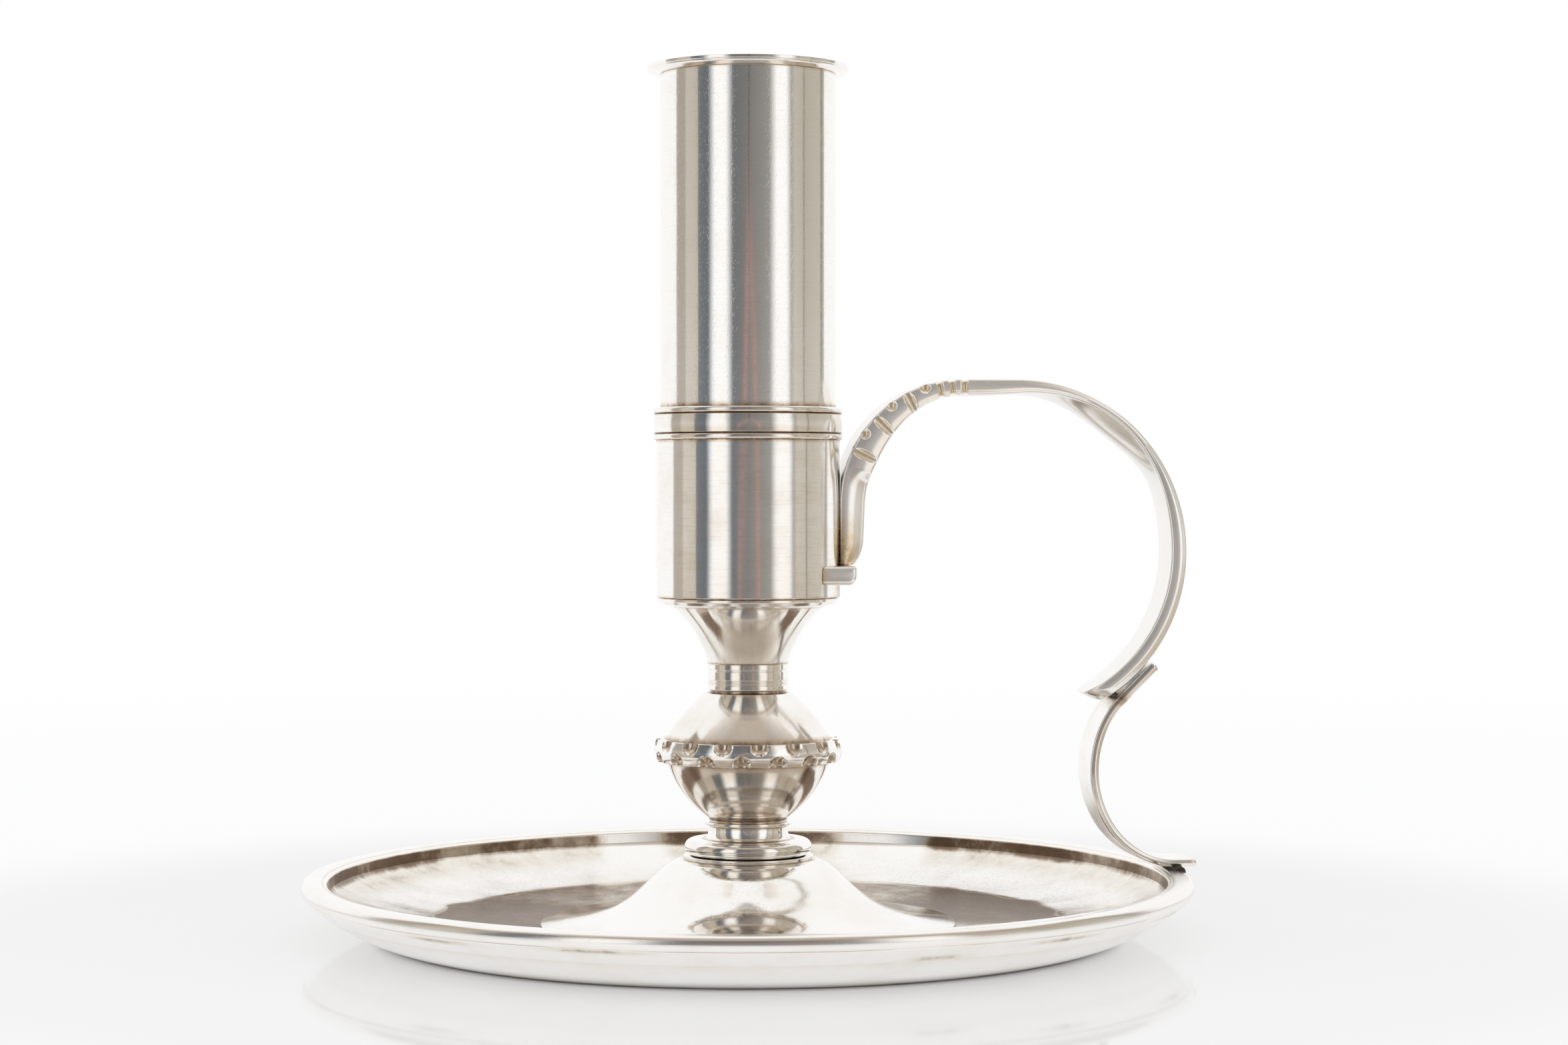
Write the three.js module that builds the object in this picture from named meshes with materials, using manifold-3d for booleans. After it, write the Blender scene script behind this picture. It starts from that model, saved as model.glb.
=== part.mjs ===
// Silver chamber candlestick: a round pan, a stem of turned and raised pieces held by one bolt, a cup with a
// lift-out candle tube and its loose nozzle, and a strap handle from the cup to the rim of the pan.
// Millimetres, +Z up, the table at z = 0, the stem on the Z axis and the handle towards +X.
import * as THREE from 'three';
import { mergeVertices } from 'three/addons/utils/BufferGeometryUtils.js';
import Module from 'manifold-3d';

// Facets of round pieces and of curved outlines
const TURN_SEGMENTS = 32;
const PAN_SEGMENTS = 60;
const CURVE_STEPS = 4;
const STRAP_STEP = 2.6;

// Fits between pieces
const SOLDER_GAP = 0.3;
const TUBE_CLEARANCE = 0.1;
const NOZZLE_CLEARANCE = 0.1;
const FLOOR_CLEARANCE = 0.1;
const BOLT_CLEARANCE = 0.3;
const THREAD_CLEARANCE = 0.05;

// Pan: a raised sheet with an opening under the dome
const PAN_BASE_RADIUS = 50;
const PAN_EDGE_RADIUS = 60.2;
const PAN_EDGE_WIDTH = 1.7;
const PAN_WALL_HEIGHT = 6.3;
const PAN_WALL_BULGE = 0.8;
const PAN_SHEET = 1.2;
const PAN_OPENING_RADIUS = 20;

// Rim: a half-round wire on the edge of the pan's wall
const RIM_PROUD = 1.8;
const RIM_WIDTH = 3.7;
const RIM_HEIGHT = 2;
const RIM_FLAT = 0.7;
const RIM_UNDERCUT = 0.5;

// Dome: an ogee from the floor of the pan up to a flat crown
const DOME_FOOT_RADIUS = 27.5;
const DOME_FOOT_EDGE = 0.4;
const DOME_FOOT_SEAT = 2;
const DOME_CROWN_RADIUS = 9.3;
const DOME_HEIGHT = 9.2;
const DOME_SHEET = 0.9;
const DOME_FLARE_REACH = 7.5;
const DOME_FLARE_RISE = 0.4;
const DOME_SHOULDER_REACH = 6.7;
const DOME_SHOULDER_DROP = 3.8;

// Disc on the crown of the dome: a thin lip under a round edge
const DISC_RADIUS = 8.9;
const DISC_LIP_RADIUS = 9.1;
const DISC_LIP_HEIGHT = 0.55;
const DISC_GROOVE_DEPTH = 0.5;
const DISC_HEIGHT = 2.8;

// Spool between the disc and the knop
const SPOOL_HEIGHT = 3.1;
const SPOOL_FOOT_RADIUS = 6.2;
const SPOOL_WAIST_RADIUS = 5.5;
const SPOOL_RING_RADIUS = 6;
const SPOOL_RING_HEIGHT = 0.6;
const SPOOL_NECK_HEIGHT = 0.6;

// Knop: two raised halves with a scooped ring between them
const KNOP_RADIUS = 11.55;
const KNOP_SHEET = 0.9;
const BOWL_FOOT_RADIUS = 5.75;
const BOWL_HEIGHT = 7.8;
const BOWL_BELLY_REACH = 3.9;
const BOWL_BELLY_RISE = 2.9;
const BAND_PROUD = 1.55;
const BAND_HEIGHT = 3.1;
const SCOOP_COUNT = 16;
const SCOOP_RADIUS = 1.6;
const SCOOP_DEPTH = 0.6;
const SCOOP_SINK = 0.5;
const CAP_HEIGHT = 6.4;
const CAP_TOP_RADIUS = 6.15;
const CAP_BELLY_REACH = 3.9;
const CAP_BELLY_DROP = 3.6;

// Reeded collar above the knop
const NECK_HEIGHT = 4.2;
const NECK_RADIUS = 5.7;
const NECK_REEDS = 5;
const NECK_REED_DEPTH = 0.22;
const NECK_FOOT_HEIGHT = 0.5;
const NECK_FOOT_INSET = 0.35;

// Trumpet that carries the cup
const TRUMPET_HEIGHT = 7.95;
const TRUMPET_THROAT_RADIUS = 5.6;
const TRUMPET_MOUTH_RADIUS = 10.9;
const TRUMPET_SHEET = 0.9;
const TRUMPET_THROAT_RISE = 4.7;

// Cup: base ring, floor, wall and moulded mouth band
const RING_HEIGHT = 1.25;
const RING_INSET = 0.25;
const RING_LIP = 0.5;
const RING_SEAT = 1.4;
const FLOOR_THICKNESS = 1;
const CUP_WALL = 0.45;
const CUP_HEIGHT = 21.9;
const MOUTH_BAND_HEIGHT = 4.5;
const MOUTH_BAND_PROUD = 0.43;
const MOUTH_BEAD_HEIGHT = 0.95;
const MOUTH_GROOVE_DEPTH = 0.3;

// Candle tube and the nozzle that hangs in its top
const TUBE_RADIUS = 12.3;
const TUBE_WALL = 0.5;
const TUBE_LENGTH = 71.8;
const NOZZLE_WALL = 0.5;
const NOZZLE_SLEEVE = 10;
const FLANGE_PROUD = 1.8;
const FLANGE_THICKNESS = 1.2;
const FLANGE_EDGE = 0.35;

// Bolt, washer and nut that clamp the stem
const BOLT_RADIUS = 2.5;
const BOLT_HEAD_RADIUS = 6;
const BOLT_HEAD_HEIGHT = 1.5;
const BOLT_TAIL = 1.2;
const WASHER_RADIUS = 7;
const WASHER_THICKNESS = 1;
const NUT_ACROSS_FLATS = 8;
const NUT_HEIGHT = 4;

// Foot of the handle: a small shelf on the cup
const FOOT_RISE = 1.8;
const FOOT_HEIGHT = 2.6;
const FOOT_WIDTH = 13;
const FOOT_REACH = 1.25;
const FOOT_ROUND = 1.1;
const FOOT_DEPTH = 4;

// Handle strap: up from the foot, round a shoulder, along a short top and round the loop
const STRAP_WIDTH = 8;
const STRAP_SEAT = 0.35;
const STRAP_RISE = 8.8;
const SHOULDER_RADIUS = 17.3;
const STRAP_TOP_RUN = 8;
const LOOP_RADIUS = 24.3;
const LOOP_END_DROP = THREE.MathUtils.degToRad(60.5);
const THIN_AT = THREE.MathUtils.degToRad(52);
const ROOT_THICKNESS = 3.3;
const BODY_THICKNESS = 4;
const THIN_THICKNESS = 1.1;
const GRIP_THICKNESS = 2.3;
const BELLY = 2.2;
const BELLY_FLAT = 0.35;
const TOE_LENGTH = 3.5;
const TOE_DROP = 1.25;
const TIP_LEAN = 0.65;
const STRAP_EDGE = 0.7;

// Ornament of the strap: cross bars on its sides, half moons on its outer edges, then ribs
const BAR_COUNT = 3;
const BAR_START = 16.4;
const BAR_PITCH = 5.6;
const BAR_RADIUS = 0.6;
const BAR_DEPTH = 0.4;
const MOON_RADIUS = 1;
const MOON_INSET = 0.3;
const MOON_DEPTH = 0.55;
const RIB_START = 32.6;
const RIB_PITCH = 1.85;
const RIB_COUNT = 3;
const RIB_GROOVE_WIDTH = 0.8;
const RIB_GROOVE_DEPTH = 0.4;
const RIB_GROOVE_RAMP = 0.15;

// Scroll: a thinner strap, standing on the rim and lying against the end of the loop
const SCROLL_THICKNESS = 1.4;
const SCROLL_TAIL_THICKNESS = 1.05;
const SCROLL_EDGE = 0.3;
const SCROLL_REACH = 12.3;
const SCROLL_FOOT_INSET = 1.6;
const SCROLL_TAIL = 3.2;
const SCROLL_BLADE = 6.9;

// Levels up the stem
const rimTop = PAN_WALL_HEIGHT + RIM_HEIGHT;
const domeTop = PAN_SHEET + DOME_HEIGHT;
const discTop = domeTop + DISC_HEIGHT;
const spoolTop = discTop + SPOOL_HEIGHT;
const bowlTop = spoolTop + BOWL_HEIGHT;
const bandTop = bowlTop + BAND_HEIGHT;
const capTop = bandTop + CAP_HEIGHT;
const neckTop = capTop + NECK_HEIGHT;
const trumpetTop = neckTop + TRUMPET_HEIGHT;
const ringTop = trumpetTop + RING_HEIGHT;
const floorTop = ringTop + FLOOR_THICKNESS;
const cupTop = ringTop + CUP_HEIGHT;
const mouthTop = cupTop + MOUTH_BAND_HEIGHT;
const tubeTop = floorTop + TUBE_LENGTH;
const flangeTop = tubeTop + FLANGE_THICKNESS;
const washerTop = domeTop - DOME_SHEET;
const nutTop = washerTop - WASHER_THICKNESS;
const nutBottom = nutTop - NUT_HEIGHT;
const footBottom = ringTop + FOOT_RISE;
const footTop = footBottom + FOOT_HEIGHT;

// Radii that follow from the fits
const rimRadius = PAN_EDGE_RADIUS + RIM_PROUD;
const stemBore = BOLT_RADIUS + BOLT_CLEARANCE;
const bandRadius = KNOP_RADIUS + BAND_PROUD;
const cupBore = TUBE_RADIUS + TUBE_CLEARANCE;
const cupRadius = cupBore + CUP_WALL;
const mouthRadius = cupRadius + MOUTH_BAND_PROUD;
const tubeBore = TUBE_RADIUS - TUBE_WALL;
const nozzleRadius = tubeBore - NOZZLE_CLEARANCE;
const nozzleBore = nozzleRadius - NOZZLE_WALL;
const flangeRadius = TUBE_RADIUS + FLANGE_PROUD;

const wasm = await Module();
wasm.setup();

// Finishes
const polished = { color: 0xd8d5cf, roughness: 0.16, metalness: 1 };
const worn = { color: 0xcbc5ba, roughness: 0.26, metalness: 1 };
const warm = { color: 0xcdbf9f, roughness: 0.28, metalness: 1 };
const steel = { color: 0x8d8d8f, roughness: 0.42, metalness: 1 };

const candlestick = new THREE.Group();

function place(name, geometry, finish) {
  const mesh = new THREE.Mesh(geometry, new THREE.MeshStandardMaterial(finish));
  mesh.name = name;
  candlestick.add(mesh);
}

function at(radius, height) {
  return new THREE.Vector2(radius, height);
}

// Turn an outline of (radius, height) points round the Z axis. Points run anticlockwise round the section.
function turned(outline, segments = TURN_SEGMENTS) {
  const onAxis = outline[0].x === 0;
  const profile = onAxis ? outline : [...outline, outline[0].clone()];
  return new THREE.LatheGeometry(profile, segments).rotateX(Math.PI / 2);
}

function quadratic(start, control, end) {
  return new THREE.QuadraticBezierCurve(start, control, end).getPoints(CURVE_STEPS);
}

// Half an ellipse in the section plane, from its lowest to its highest point, bulging outwards
function halfRound(center, radius, halfHeight) {
  const from = -Math.PI / 2;
  const to = Math.PI / 2;
  return new THREE.EllipseCurve(center.x, center.y, radius, halfHeight, from, to).getPoints(CURVE_STEPS);
}

function toSolid(geometry) {
  const plain = geometry.clone();
  plain.deleteAttribute('normal');
  plain.deleteAttribute('uv');
  const merged = mergeVertices(plain);
  const corners = merged.index.array;
  const triangles = [];
  for (let i = 0; i < corners.length; i += 3) {
    const [a, b, c] = corners.slice(i, i + 3);
    if (a !== b && b !== c && c !== a) triangles.push(a, b, c);
  }
  const vertProperties = new Float32Array(merged.attributes.position.array);
  const triVerts = new Uint32Array(triangles);
  return new wasm.Manifold(new wasm.Mesh({ numProp: 3, vertProperties, triVerts }));
}

function toGeometry(solid) {
  const mesh = solid.getMesh();
  const geometry = new THREE.BufferGeometry();
  geometry.setAttribute('position', new THREE.BufferAttribute(mesh.vertProperties, 3));
  geometry.setIndex(new THREE.BufferAttribute(mesh.triVerts, 1));
  geometry.computeVertexNormals();
  return geometry;
}

function cutAway(geometry, cutters) {
  let solid = toSolid(geometry);
  for (const cutter of cutters) solid = solid.subtract(toSolid(cutter));
  return toGeometry(solid);
}

// Pan

// Wall of the pan from its foot to its edge, bulging outwards and down from the straight line
function panWall(foot, edge) {
  const along = edge.clone().sub(foot).normalize();
  const outwards = at(along.y, -along.x);
  const control = foot.clone().lerp(edge, 0.5).addScaledVector(outwards, 2 * PAN_WALL_BULGE);
  return quadratic(foot, control, edge);
}

function dish() {
  const outside = panWall(at(PAN_BASE_RADIUS, 0), at(PAN_EDGE_RADIUS, PAN_WALL_HEIGHT));
  const innerFoot = at(PAN_BASE_RADIUS - PAN_SHEET / 2, PAN_SHEET);
  const innerEdge = at(PAN_EDGE_RADIUS - PAN_EDGE_WIDTH, PAN_WALL_HEIGHT);
  const inside = panWall(innerFoot, innerEdge).reverse();
  return turned(
    [at(PAN_OPENING_RADIUS, 0), ...outside, ...inside, at(PAN_OPENING_RADIUS, PAN_SHEET)],
    PAN_SEGMENTS,
  );
}

function dishRim() {
  const inner = rimRadius - RIM_WIDTH;
  const bottom = PAN_WALL_HEIGHT;
  const middle = rimRadius - RIM_WIDTH / 2;
  const crown = RIM_HEIGHT - RIM_FLAT;
  const over = new THREE.EllipseCurve(middle, bottom + RIM_FLAT, RIM_WIDTH / 2, crown, 0, Math.PI);
  return turned(
    [at(inner, bottom), at(rimRadius - RIM_UNDERCUT, bottom), ...over.getPoints(CURVE_STEPS + 2)],
    PAN_SEGMENTS,
  );
}

// Ogee from the foot of the dome up to its crown
function ogee(foot, crown) {
  const flare = at(foot.x - DOME_FLARE_REACH, foot.y + DOME_FLARE_RISE);
  const shoulder = at(crown.x + DOME_SHOULDER_REACH, crown.y - DOME_SHOULDER_DROP);
  return new THREE.CubicBezierCurve(foot, flare, shoulder, crown).getPoints(2 * CURVE_STEPS);
}

function panDome() {
  const footInside = DOME_FOOT_RADIUS - DOME_FOOT_SEAT;
  const outside = ogee(
    at(DOME_FOOT_RADIUS, PAN_SHEET + DOME_FOOT_EDGE),
    at(DOME_CROWN_RADIUS, domeTop),
  );
  const inside = ogee(
    at(footInside, PAN_SHEET),
    at(DOME_CROWN_RADIUS - DOME_SHEET / 2, domeTop - DOME_SHEET),
  ).reverse();
  const crown = [at(stemBore, domeTop), at(stemBore, domeTop - DOME_SHEET)];
  return turned([at(DOME_FOOT_RADIUS, PAN_SHEET), ...outside, ...crown, ...inside]);
}

// Stem

function collarDisc() {
  const lipTop = domeTop + DISC_LIP_HEIGHT;
  const halfHeight = (discTop - lipTop) / 2;
  const edge = halfRound(at(DISC_RADIUS - halfHeight, discTop - halfHeight), halfHeight, halfHeight);
  const groove = at(DISC_RADIUS - DISC_GROOVE_DEPTH - halfHeight, lipTop);
  return turned([
    at(stemBore, domeTop),
    at(DISC_LIP_RADIUS, domeTop),
    at(DISC_LIP_RADIUS, lipTop),
    groove,
    ...edge.slice(1),
    at(stemBore, discTop),
  ]);
}

function stemSpool() {
  const ringBottom = spoolTop - SPOOL_NECK_HEIGHT - SPOOL_RING_HEIGHT;
  const ringTopEdge = spoolTop - SPOOL_NECK_HEIGHT;
  const waist = quadratic(
    at(SPOOL_FOOT_RADIUS, discTop),
    at(SPOOL_WAIST_RADIUS, discTop),
    at(SPOOL_WAIST_RADIUS, ringBottom),
  );
  return turned([
    at(stemBore, discTop),
    ...waist,
    at(SPOOL_RING_RADIUS, ringBottom),
    at(SPOOL_RING_RADIUS, ringTopEdge),
    at(SPOOL_WAIST_RADIUS, ringTopEdge),
    at(SPOOL_WAIST_RADIUS, spoolTop),
    at(stemBore, spoolTop),
  ]);
}

function knopBowl() {
  const foot = at(BOWL_FOOT_RADIUS, spoolTop);
  const belly = at(BOWL_FOOT_RADIUS + BOWL_BELLY_REACH, spoolTop + BOWL_BELLY_RISE);
  const outside = quadratic(foot, belly, at(KNOP_RADIUS, bowlTop));
  const inside = quadratic(
    at(BOWL_FOOT_RADIUS - KNOP_SHEET, spoolTop + KNOP_SHEET),
    at(belly.x - KNOP_SHEET, belly.y + KNOP_SHEET),
    at(KNOP_RADIUS - KNOP_SHEET, bowlTop),
  ).reverse();
  return turned([at(stemBore, spoolTop), ...outside, ...inside, at(stemBore, spoolTop + KNOP_SHEET)]);
}

// Ring with half-moon scoops filed into its upper and lower edges, one row between the other
function knopBand() {
  const bore = KNOP_RADIUS - KNOP_SHEET;
  const ring = turned([
    at(bore, bowlTop),
    at(bandRadius, bowlTop),
    at(bandRadius, bandTop),
    at(bore, bandTop),
  ]);
  const reach = bandRadius + SCOOP_RADIUS - SCOOP_DEPTH;
  const pitch = (2 * Math.PI) / SCOOP_COUNT;
  const scoops = [];
  for (let i = 0; i < SCOOP_COUNT; i += 1) {
    for (const [turn, level] of [[i, bandTop - SCOOP_SINK], [i + 0.5, bowlTop + SCOOP_SINK]]) {
      const scoop = new THREE.SphereGeometry(SCOOP_RADIUS, 8, 6);
      scoop.translate(reach * Math.cos(turn * pitch), reach * Math.sin(turn * pitch), level);
      scoops.push(scoop);
    }
  }
  return cutAway(ring, scoops);
}

function knopCap() {
  const top = at(CAP_TOP_RADIUS, capTop);
  const belly = at(CAP_TOP_RADIUS + CAP_BELLY_REACH, capTop - CAP_BELLY_DROP);
  const outside = quadratic(at(KNOP_RADIUS, bandTop), belly, top);
  const inside = quadratic(
    at(CAP_TOP_RADIUS - KNOP_SHEET, capTop - KNOP_SHEET),
    at(belly.x - KNOP_SHEET, belly.y - KNOP_SHEET),
    at(KNOP_RADIUS - KNOP_SHEET, bandTop),
  );
  return turned([...outside, at(stemBore, capTop), at(stemBore, capTop - KNOP_SHEET), ...inside]);
}

function neckCollar() {
  const footTopEdge = capTop + NECK_FOOT_HEIGHT;
  const footRadius = NECK_RADIUS - NECK_FOOT_INSET;
  const reedHeight = (neckTop - footTopEdge) / NECK_REEDS;
  const reeds = [];
  for (let i = 0; i < NECK_REEDS; i += 1) {
    const low = footTopEdge + i * reedHeight;
    reeds.push(at(NECK_RADIUS - NECK_REED_DEPTH, low), at(NECK_RADIUS, low + reedHeight / 2));
  }
  return turned([
    at(stemBore, capTop),
    at(footRadius, capTop),
    at(footRadius, footTopEdge),
    ...reeds,
    at(NECK_RADIUS - NECK_REED_DEPTH, neckTop),
    at(stemBore, neckTop),
  ]);
}

function stemTrumpet() {
  const throat = at(TRUMPET_THROAT_RADIUS, neckTop);
  const rise = at(TRUMPET_THROAT_RADIUS, neckTop + TRUMPET_THROAT_RISE);
  const outside = quadratic(throat, rise, at(TRUMPET_MOUTH_RADIUS, trumpetTop));
  const inside = outside.map((point) => at(point.x - TRUMPET_SHEET, point.y)).reverse();
  return turned([...outside, ...inside]);
}

// Cup

function cupBaseRing() {
  const outer = cupRadius - RING_INSET;
  const bottom = at(TRUMPET_MOUTH_RADIUS + RING_LIP, trumpetTop);
  const edge = quadratic(bottom, at(outer, trumpetTop), at(outer, ringTop));
  const bore = TRUMPET_MOUTH_RADIUS - RING_SEAT;
  return turned([at(bore, trumpetTop), ...edge, at(bore, ringTop)]);
}

function cupFloor() {
  const outer = cupBore - FLOOR_CLEARANCE;
  return turned([
    at(stemBore, ringTop),
    at(outer, ringTop),
    at(outer, floorTop),
    at(stemBore, floorTop),
  ]);
}

function socketCup() {
  return turned([
    at(cupBore, ringTop),
    at(cupRadius, ringTop),
    at(cupRadius, cupTop),
    at(cupBore, cupTop),
  ]);
}

// Moulding at the mouth: a bead, a wide round band and another bead, with grooves between
function cupMouthBand() {
  const levels = [cupTop, cupTop + MOUTH_BEAD_HEIGHT, mouthTop - MOUTH_BEAD_HEIGHT, mouthTop];
  const valley = mouthRadius - MOUTH_GROOVE_DEPTH;
  const outline = [at(cupBore, cupTop), at(valley, cupTop)];
  for (let i = 1; i < levels.length; i += 1) {
    const rise = levels[i] - levels[i - 1];
    const center = at(valley, levels[i - 1] + rise / 2);
    outline.push(...halfRound(center, MOUTH_GROOVE_DEPTH, rise / 2).slice(1));
  }
  return turned([...outline, at(cupBore, mouthTop)]);
}

// Candle tube and nozzle

function candleTube() {
  return turned([
    at(tubeBore, floorTop),
    at(TUBE_RADIUS, floorTop),
    at(TUBE_RADIUS, tubeTop),
    at(tubeBore, tubeTop),
  ]);
}

function nozzle() {
  const sleeveEnd = tubeTop - NOZZLE_SLEEVE;
  return turned([
    at(nozzleBore, sleeveEnd),
    at(nozzleRadius, sleeveEnd),
    at(nozzleRadius, tubeTop),
    at(flangeRadius - FLANGE_EDGE, tubeTop),
    at(flangeRadius, tubeTop + FLANGE_THICKNESS / 2),
    at(flangeRadius - FLANGE_EDGE, flangeTop),
    at(nozzleBore + FLANGE_EDGE, flangeTop),
    at(nozzleBore, flangeTop - FLANGE_EDGE),
  ]);
}

// Bolt, washer and nut

function tieBolt() {
  const headTop = floorTop + BOLT_HEAD_HEIGHT;
  const end = nutBottom - BOLT_TAIL;
  return turned([
    at(0, end),
    at(BOLT_RADIUS, end),
    at(BOLT_RADIUS, floorTop),
    at(BOLT_HEAD_RADIUS, floorTop),
    at(BOLT_HEAD_RADIUS, headTop),
    at(0, headTop),
  ]);
}

function tieWasher() {
  return turned([
    at(stemBore, nutTop),
    at(WASHER_RADIUS, nutTop),
    at(WASHER_RADIUS, washerTop),
    at(stemBore, washerTop),
  ]);
}

function tieNut() {
  const cornerRadius = NUT_ACROSS_FLATS / 2 / Math.cos(Math.PI / 6);
  const corners = [];
  for (let i = 0; i < 6; i += 1) {
    const angle = (i * Math.PI) / 3;
    corners.push(at(cornerRadius * Math.cos(angle), cornerRadius * Math.sin(angle)));
  }
  const hexagon = new THREE.Shape(corners);
  hexagon.holes.push(new THREE.Path().absarc(0, 0, BOLT_RADIUS + THREAD_CLEARANCE, 0, 2 * Math.PI, true));
  const options = { depth: NUT_HEIGHT, bevelEnabled: false, curveSegments: TURN_SEGMENTS / 2 };
  return new THREE.ExtrudeGeometry(hexagon, options).translate(0, 0, nutBottom);
}

// Handle

// The cup and its mouth band with a solder seam round them, to cut saddles in what lies against the cup
function cupSaddle() {
  const cup = cupRadius + SOLDER_GAP;
  const mouth = mouthRadius + SOLDER_GAP;
  return turned([
    at(0, trumpetTop),
    at(cup, trumpetTop),
    at(cup, cupTop - SOLDER_GAP),
    at(mouth, cupTop - SOLDER_GAP),
    at(mouth, mouthTop + SOLDER_GAP),
    at(0, mouthTop + SOLDER_GAP),
  ]);
}

function handleFoot() {
  const back = cupRadius - FOOT_DEPTH;
  const front = cupRadius + FOOT_REACH;
  const round = Math.min(FOOT_ROUND, FOOT_HEIGHT);
  const side = new THREE.Shape();
  side.moveTo(back, footBottom);
  side.lineTo(front - round, footBottom);
  side.absarc(front - round, footBottom + round, round, -Math.PI / 2, 0, false);
  side.lineTo(front, footTop);
  side.lineTo(back, footTop);
  const options = { depth: FOOT_WIDTH, bevelEnabled: false, curveSegments: CURVE_STEPS };
  const block = new THREE.ExtrudeGeometry(side, options).rotateX(Math.PI / 2);
  return cutAway(block.translate(0, FOOT_WIDTH / 2, 0), [cupSaddle()]);
}

// Outer face of the strap in the XZ plane, as lines and arcs measured along their length
const strapBack = cupRadius - STRAP_SEAT;
const shoulderCenter = at(strapBack + SHOULDER_RADIUS, footTop + STRAP_RISE);
const loopCenter = at(
  shoulderCenter.x + STRAP_TOP_RUN,
  shoulderCenter.y + SHOULDER_RADIUS - LOOP_RADIUS,
);
const strapTop = shoulderCenter.y + SHOULDER_RADIUS;

function arc(center, radius, from, to) {
  return new THREE.EllipseCurve(center.x, center.y, radius, radius, from, to, to < from);
}

const strapPath = new THREE.CurvePath();
strapPath.add(new THREE.LineCurve(at(strapBack, footTop), at(strapBack, shoulderCenter.y)));
strapPath.add(arc(shoulderCenter, SHOULDER_RADIUS, Math.PI, Math.PI / 2));
strapPath.add(new THREE.LineCurve(at(shoulderCenter.x, strapTop), at(loopCenter.x, strapTop)));
strapPath.add(arc(loopCenter, LOOP_RADIUS, Math.PI / 2, -LOOP_END_DROP));
const strapLength = strapPath.getLength();
const loopStart = strapLength - LOOP_RADIUS * (Math.PI / 2 + LOOP_END_DROP);

// Point on a path at a length along it, with the direction into the strap's thickness
function station(path, length) {
  const fraction = length / path.getLength();
  const point = path.getPoint(fraction);
  const along = path.getTangent(fraction);
  return { point, along, inwards: at(along.y, -along.x) };
}

// Skin a strap over sections along a path. section(length) gives the thickness at the strap's sides, how far
// its faces are set in, how far its inner face bellies out and how far the section leans along the path.
function strapAlong(path, lengths, width, edge, section) {
  const positions = [];
  for (const length of lengths) {
    const { point, along, inwards } = station(path, length);
    const { thickness, inset, belly, lean } = section(length);
    const corner = Math.min(edge, 0.35 * (thickness - 2 * inset));
    const half = width / 2 - inset;
    const near = inset;
    const far = thickness - inset;
    const ring = [
      [near, corner - half], [near, half - corner], [near + corner, half], [far - corner, half],
      [far, half - corner], [far + belly, BELLY_FLAT * half], [far + belly, -BELLY_FLAT * half],
      [far, corner - half], [far - corner, -half], [near + corner, -half],
    ];
    for (const [depth, across] of ring) {
      const spot = point.clone().addScaledVector(inwards, depth).addScaledVector(along, lean * depth);
      positions.push(spot.x, across, spot.y);
    }
  }
  const size = 10;
  const last = (lengths.length - 1) * size;
  const index = [];
  for (let i = 0; i < lengths.length - 1; i += 1) {
    for (let j = 0; j < size; j += 1) {
      const a = i * size + j;
      const b = i * size + ((j + 1) % size);
      index.push(a, b + size, b, a, a + size, b + size);
    }
  }
  for (let j = 1; j < size - 1; j += 1) {
    index.push(0, j, j + 1, last, last + j + 1, last + j);
  }
  const geometry = new THREE.BufferGeometry();
  geometry.setAttribute('position', new THREE.Float32BufferAttribute(positions, 3));
  geometry.setIndex(index);
  geometry.computeVertexNormals();
  return geometry;
}

function evenLengths(total) {
  const count = Math.ceil(total / STRAP_STEP);
  return Array.from({ length: count + 1 }, (_, i) => (total * i) / count);
}

const ribEnd = RIB_START + (RIB_COUNT - 1) * RIB_PITCH;

// How far the strap has thinned at its sides, from none at the ribs to all on the loop and back at the grip
function strapThinning(length) {
  const thinnest = loopStart + LOOP_RADIUS * (Math.PI / 2 - THIN_AT);
  const grip = loopStart + LOOP_RADIUS * (Math.PI / 2);
  const ease = THREE.MathUtils.smoothstep;
  return length < thinnest ? ease(length, ribEnd, thinnest) : 1 - ease(length, thinnest, grip);
}

function strapThickness(length) {
  const mix = THREE.MathUtils.lerp;
  if (length < BAR_START) {
    const toe = Math.max(0, 1 - length / TOE_LENGTH);
    return mix(ROOT_THICKNESS, BODY_THICKNESS, length / BAR_START) - TOE_DROP * toe * toe;
  }
  const tapered = THREE.MathUtils.smoothstep(length, BAR_START, ribEnd);
  const full = length < ribEnd ? mix(BODY_THICKNESS, GRIP_THICKNESS, tapered) : GRIP_THICKNESS;
  return mix(full, THIN_THICKNESS, strapThinning(length));
}

const ribGrooves = Array.from({ length: RIB_COUNT }, (_, i) => RIB_START + i * RIB_PITCH);

function grooveInset(length) {
  const half = RIB_GROOVE_WIDTH / 2;
  const nearest = Math.min(...ribGrooves.map((middle) => Math.abs(length - middle)));
  const into = (half - nearest) / RIB_GROOVE_RAMP;
  return RIB_GROOVE_DEPTH * THREE.MathUtils.clamp(into, 0, 1);
}

function strapLengths() {
  const half = RIB_GROOVE_WIDTH / 2;
  const toe = [TOE_LENGTH / 3, (2 * TOE_LENGTH) / 3, TOE_LENGTH];
  const steps = ribGrooves.flatMap((middle) => [
    middle - half, middle - half + RIB_GROOVE_RAMP, middle + half - RIB_GROOVE_RAMP, middle + half,
  ]);
  const ribsFrom = steps[0] - STRAP_STEP / 2;
  const ribsTo = steps[steps.length - 1] + STRAP_STEP / 2;
  const ribbed = (length) => length > ribsFrom && length < ribsTo;
  const inToe = (length) => length > 0 && length < TOE_LENGTH + STRAP_STEP / 2;
  const even = evenLengths(strapLength).filter((length) => !inToe(length) && !ribbed(length));
  return [...toe, ...even, ...steps].sort((a, b) => a - b);
}

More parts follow.
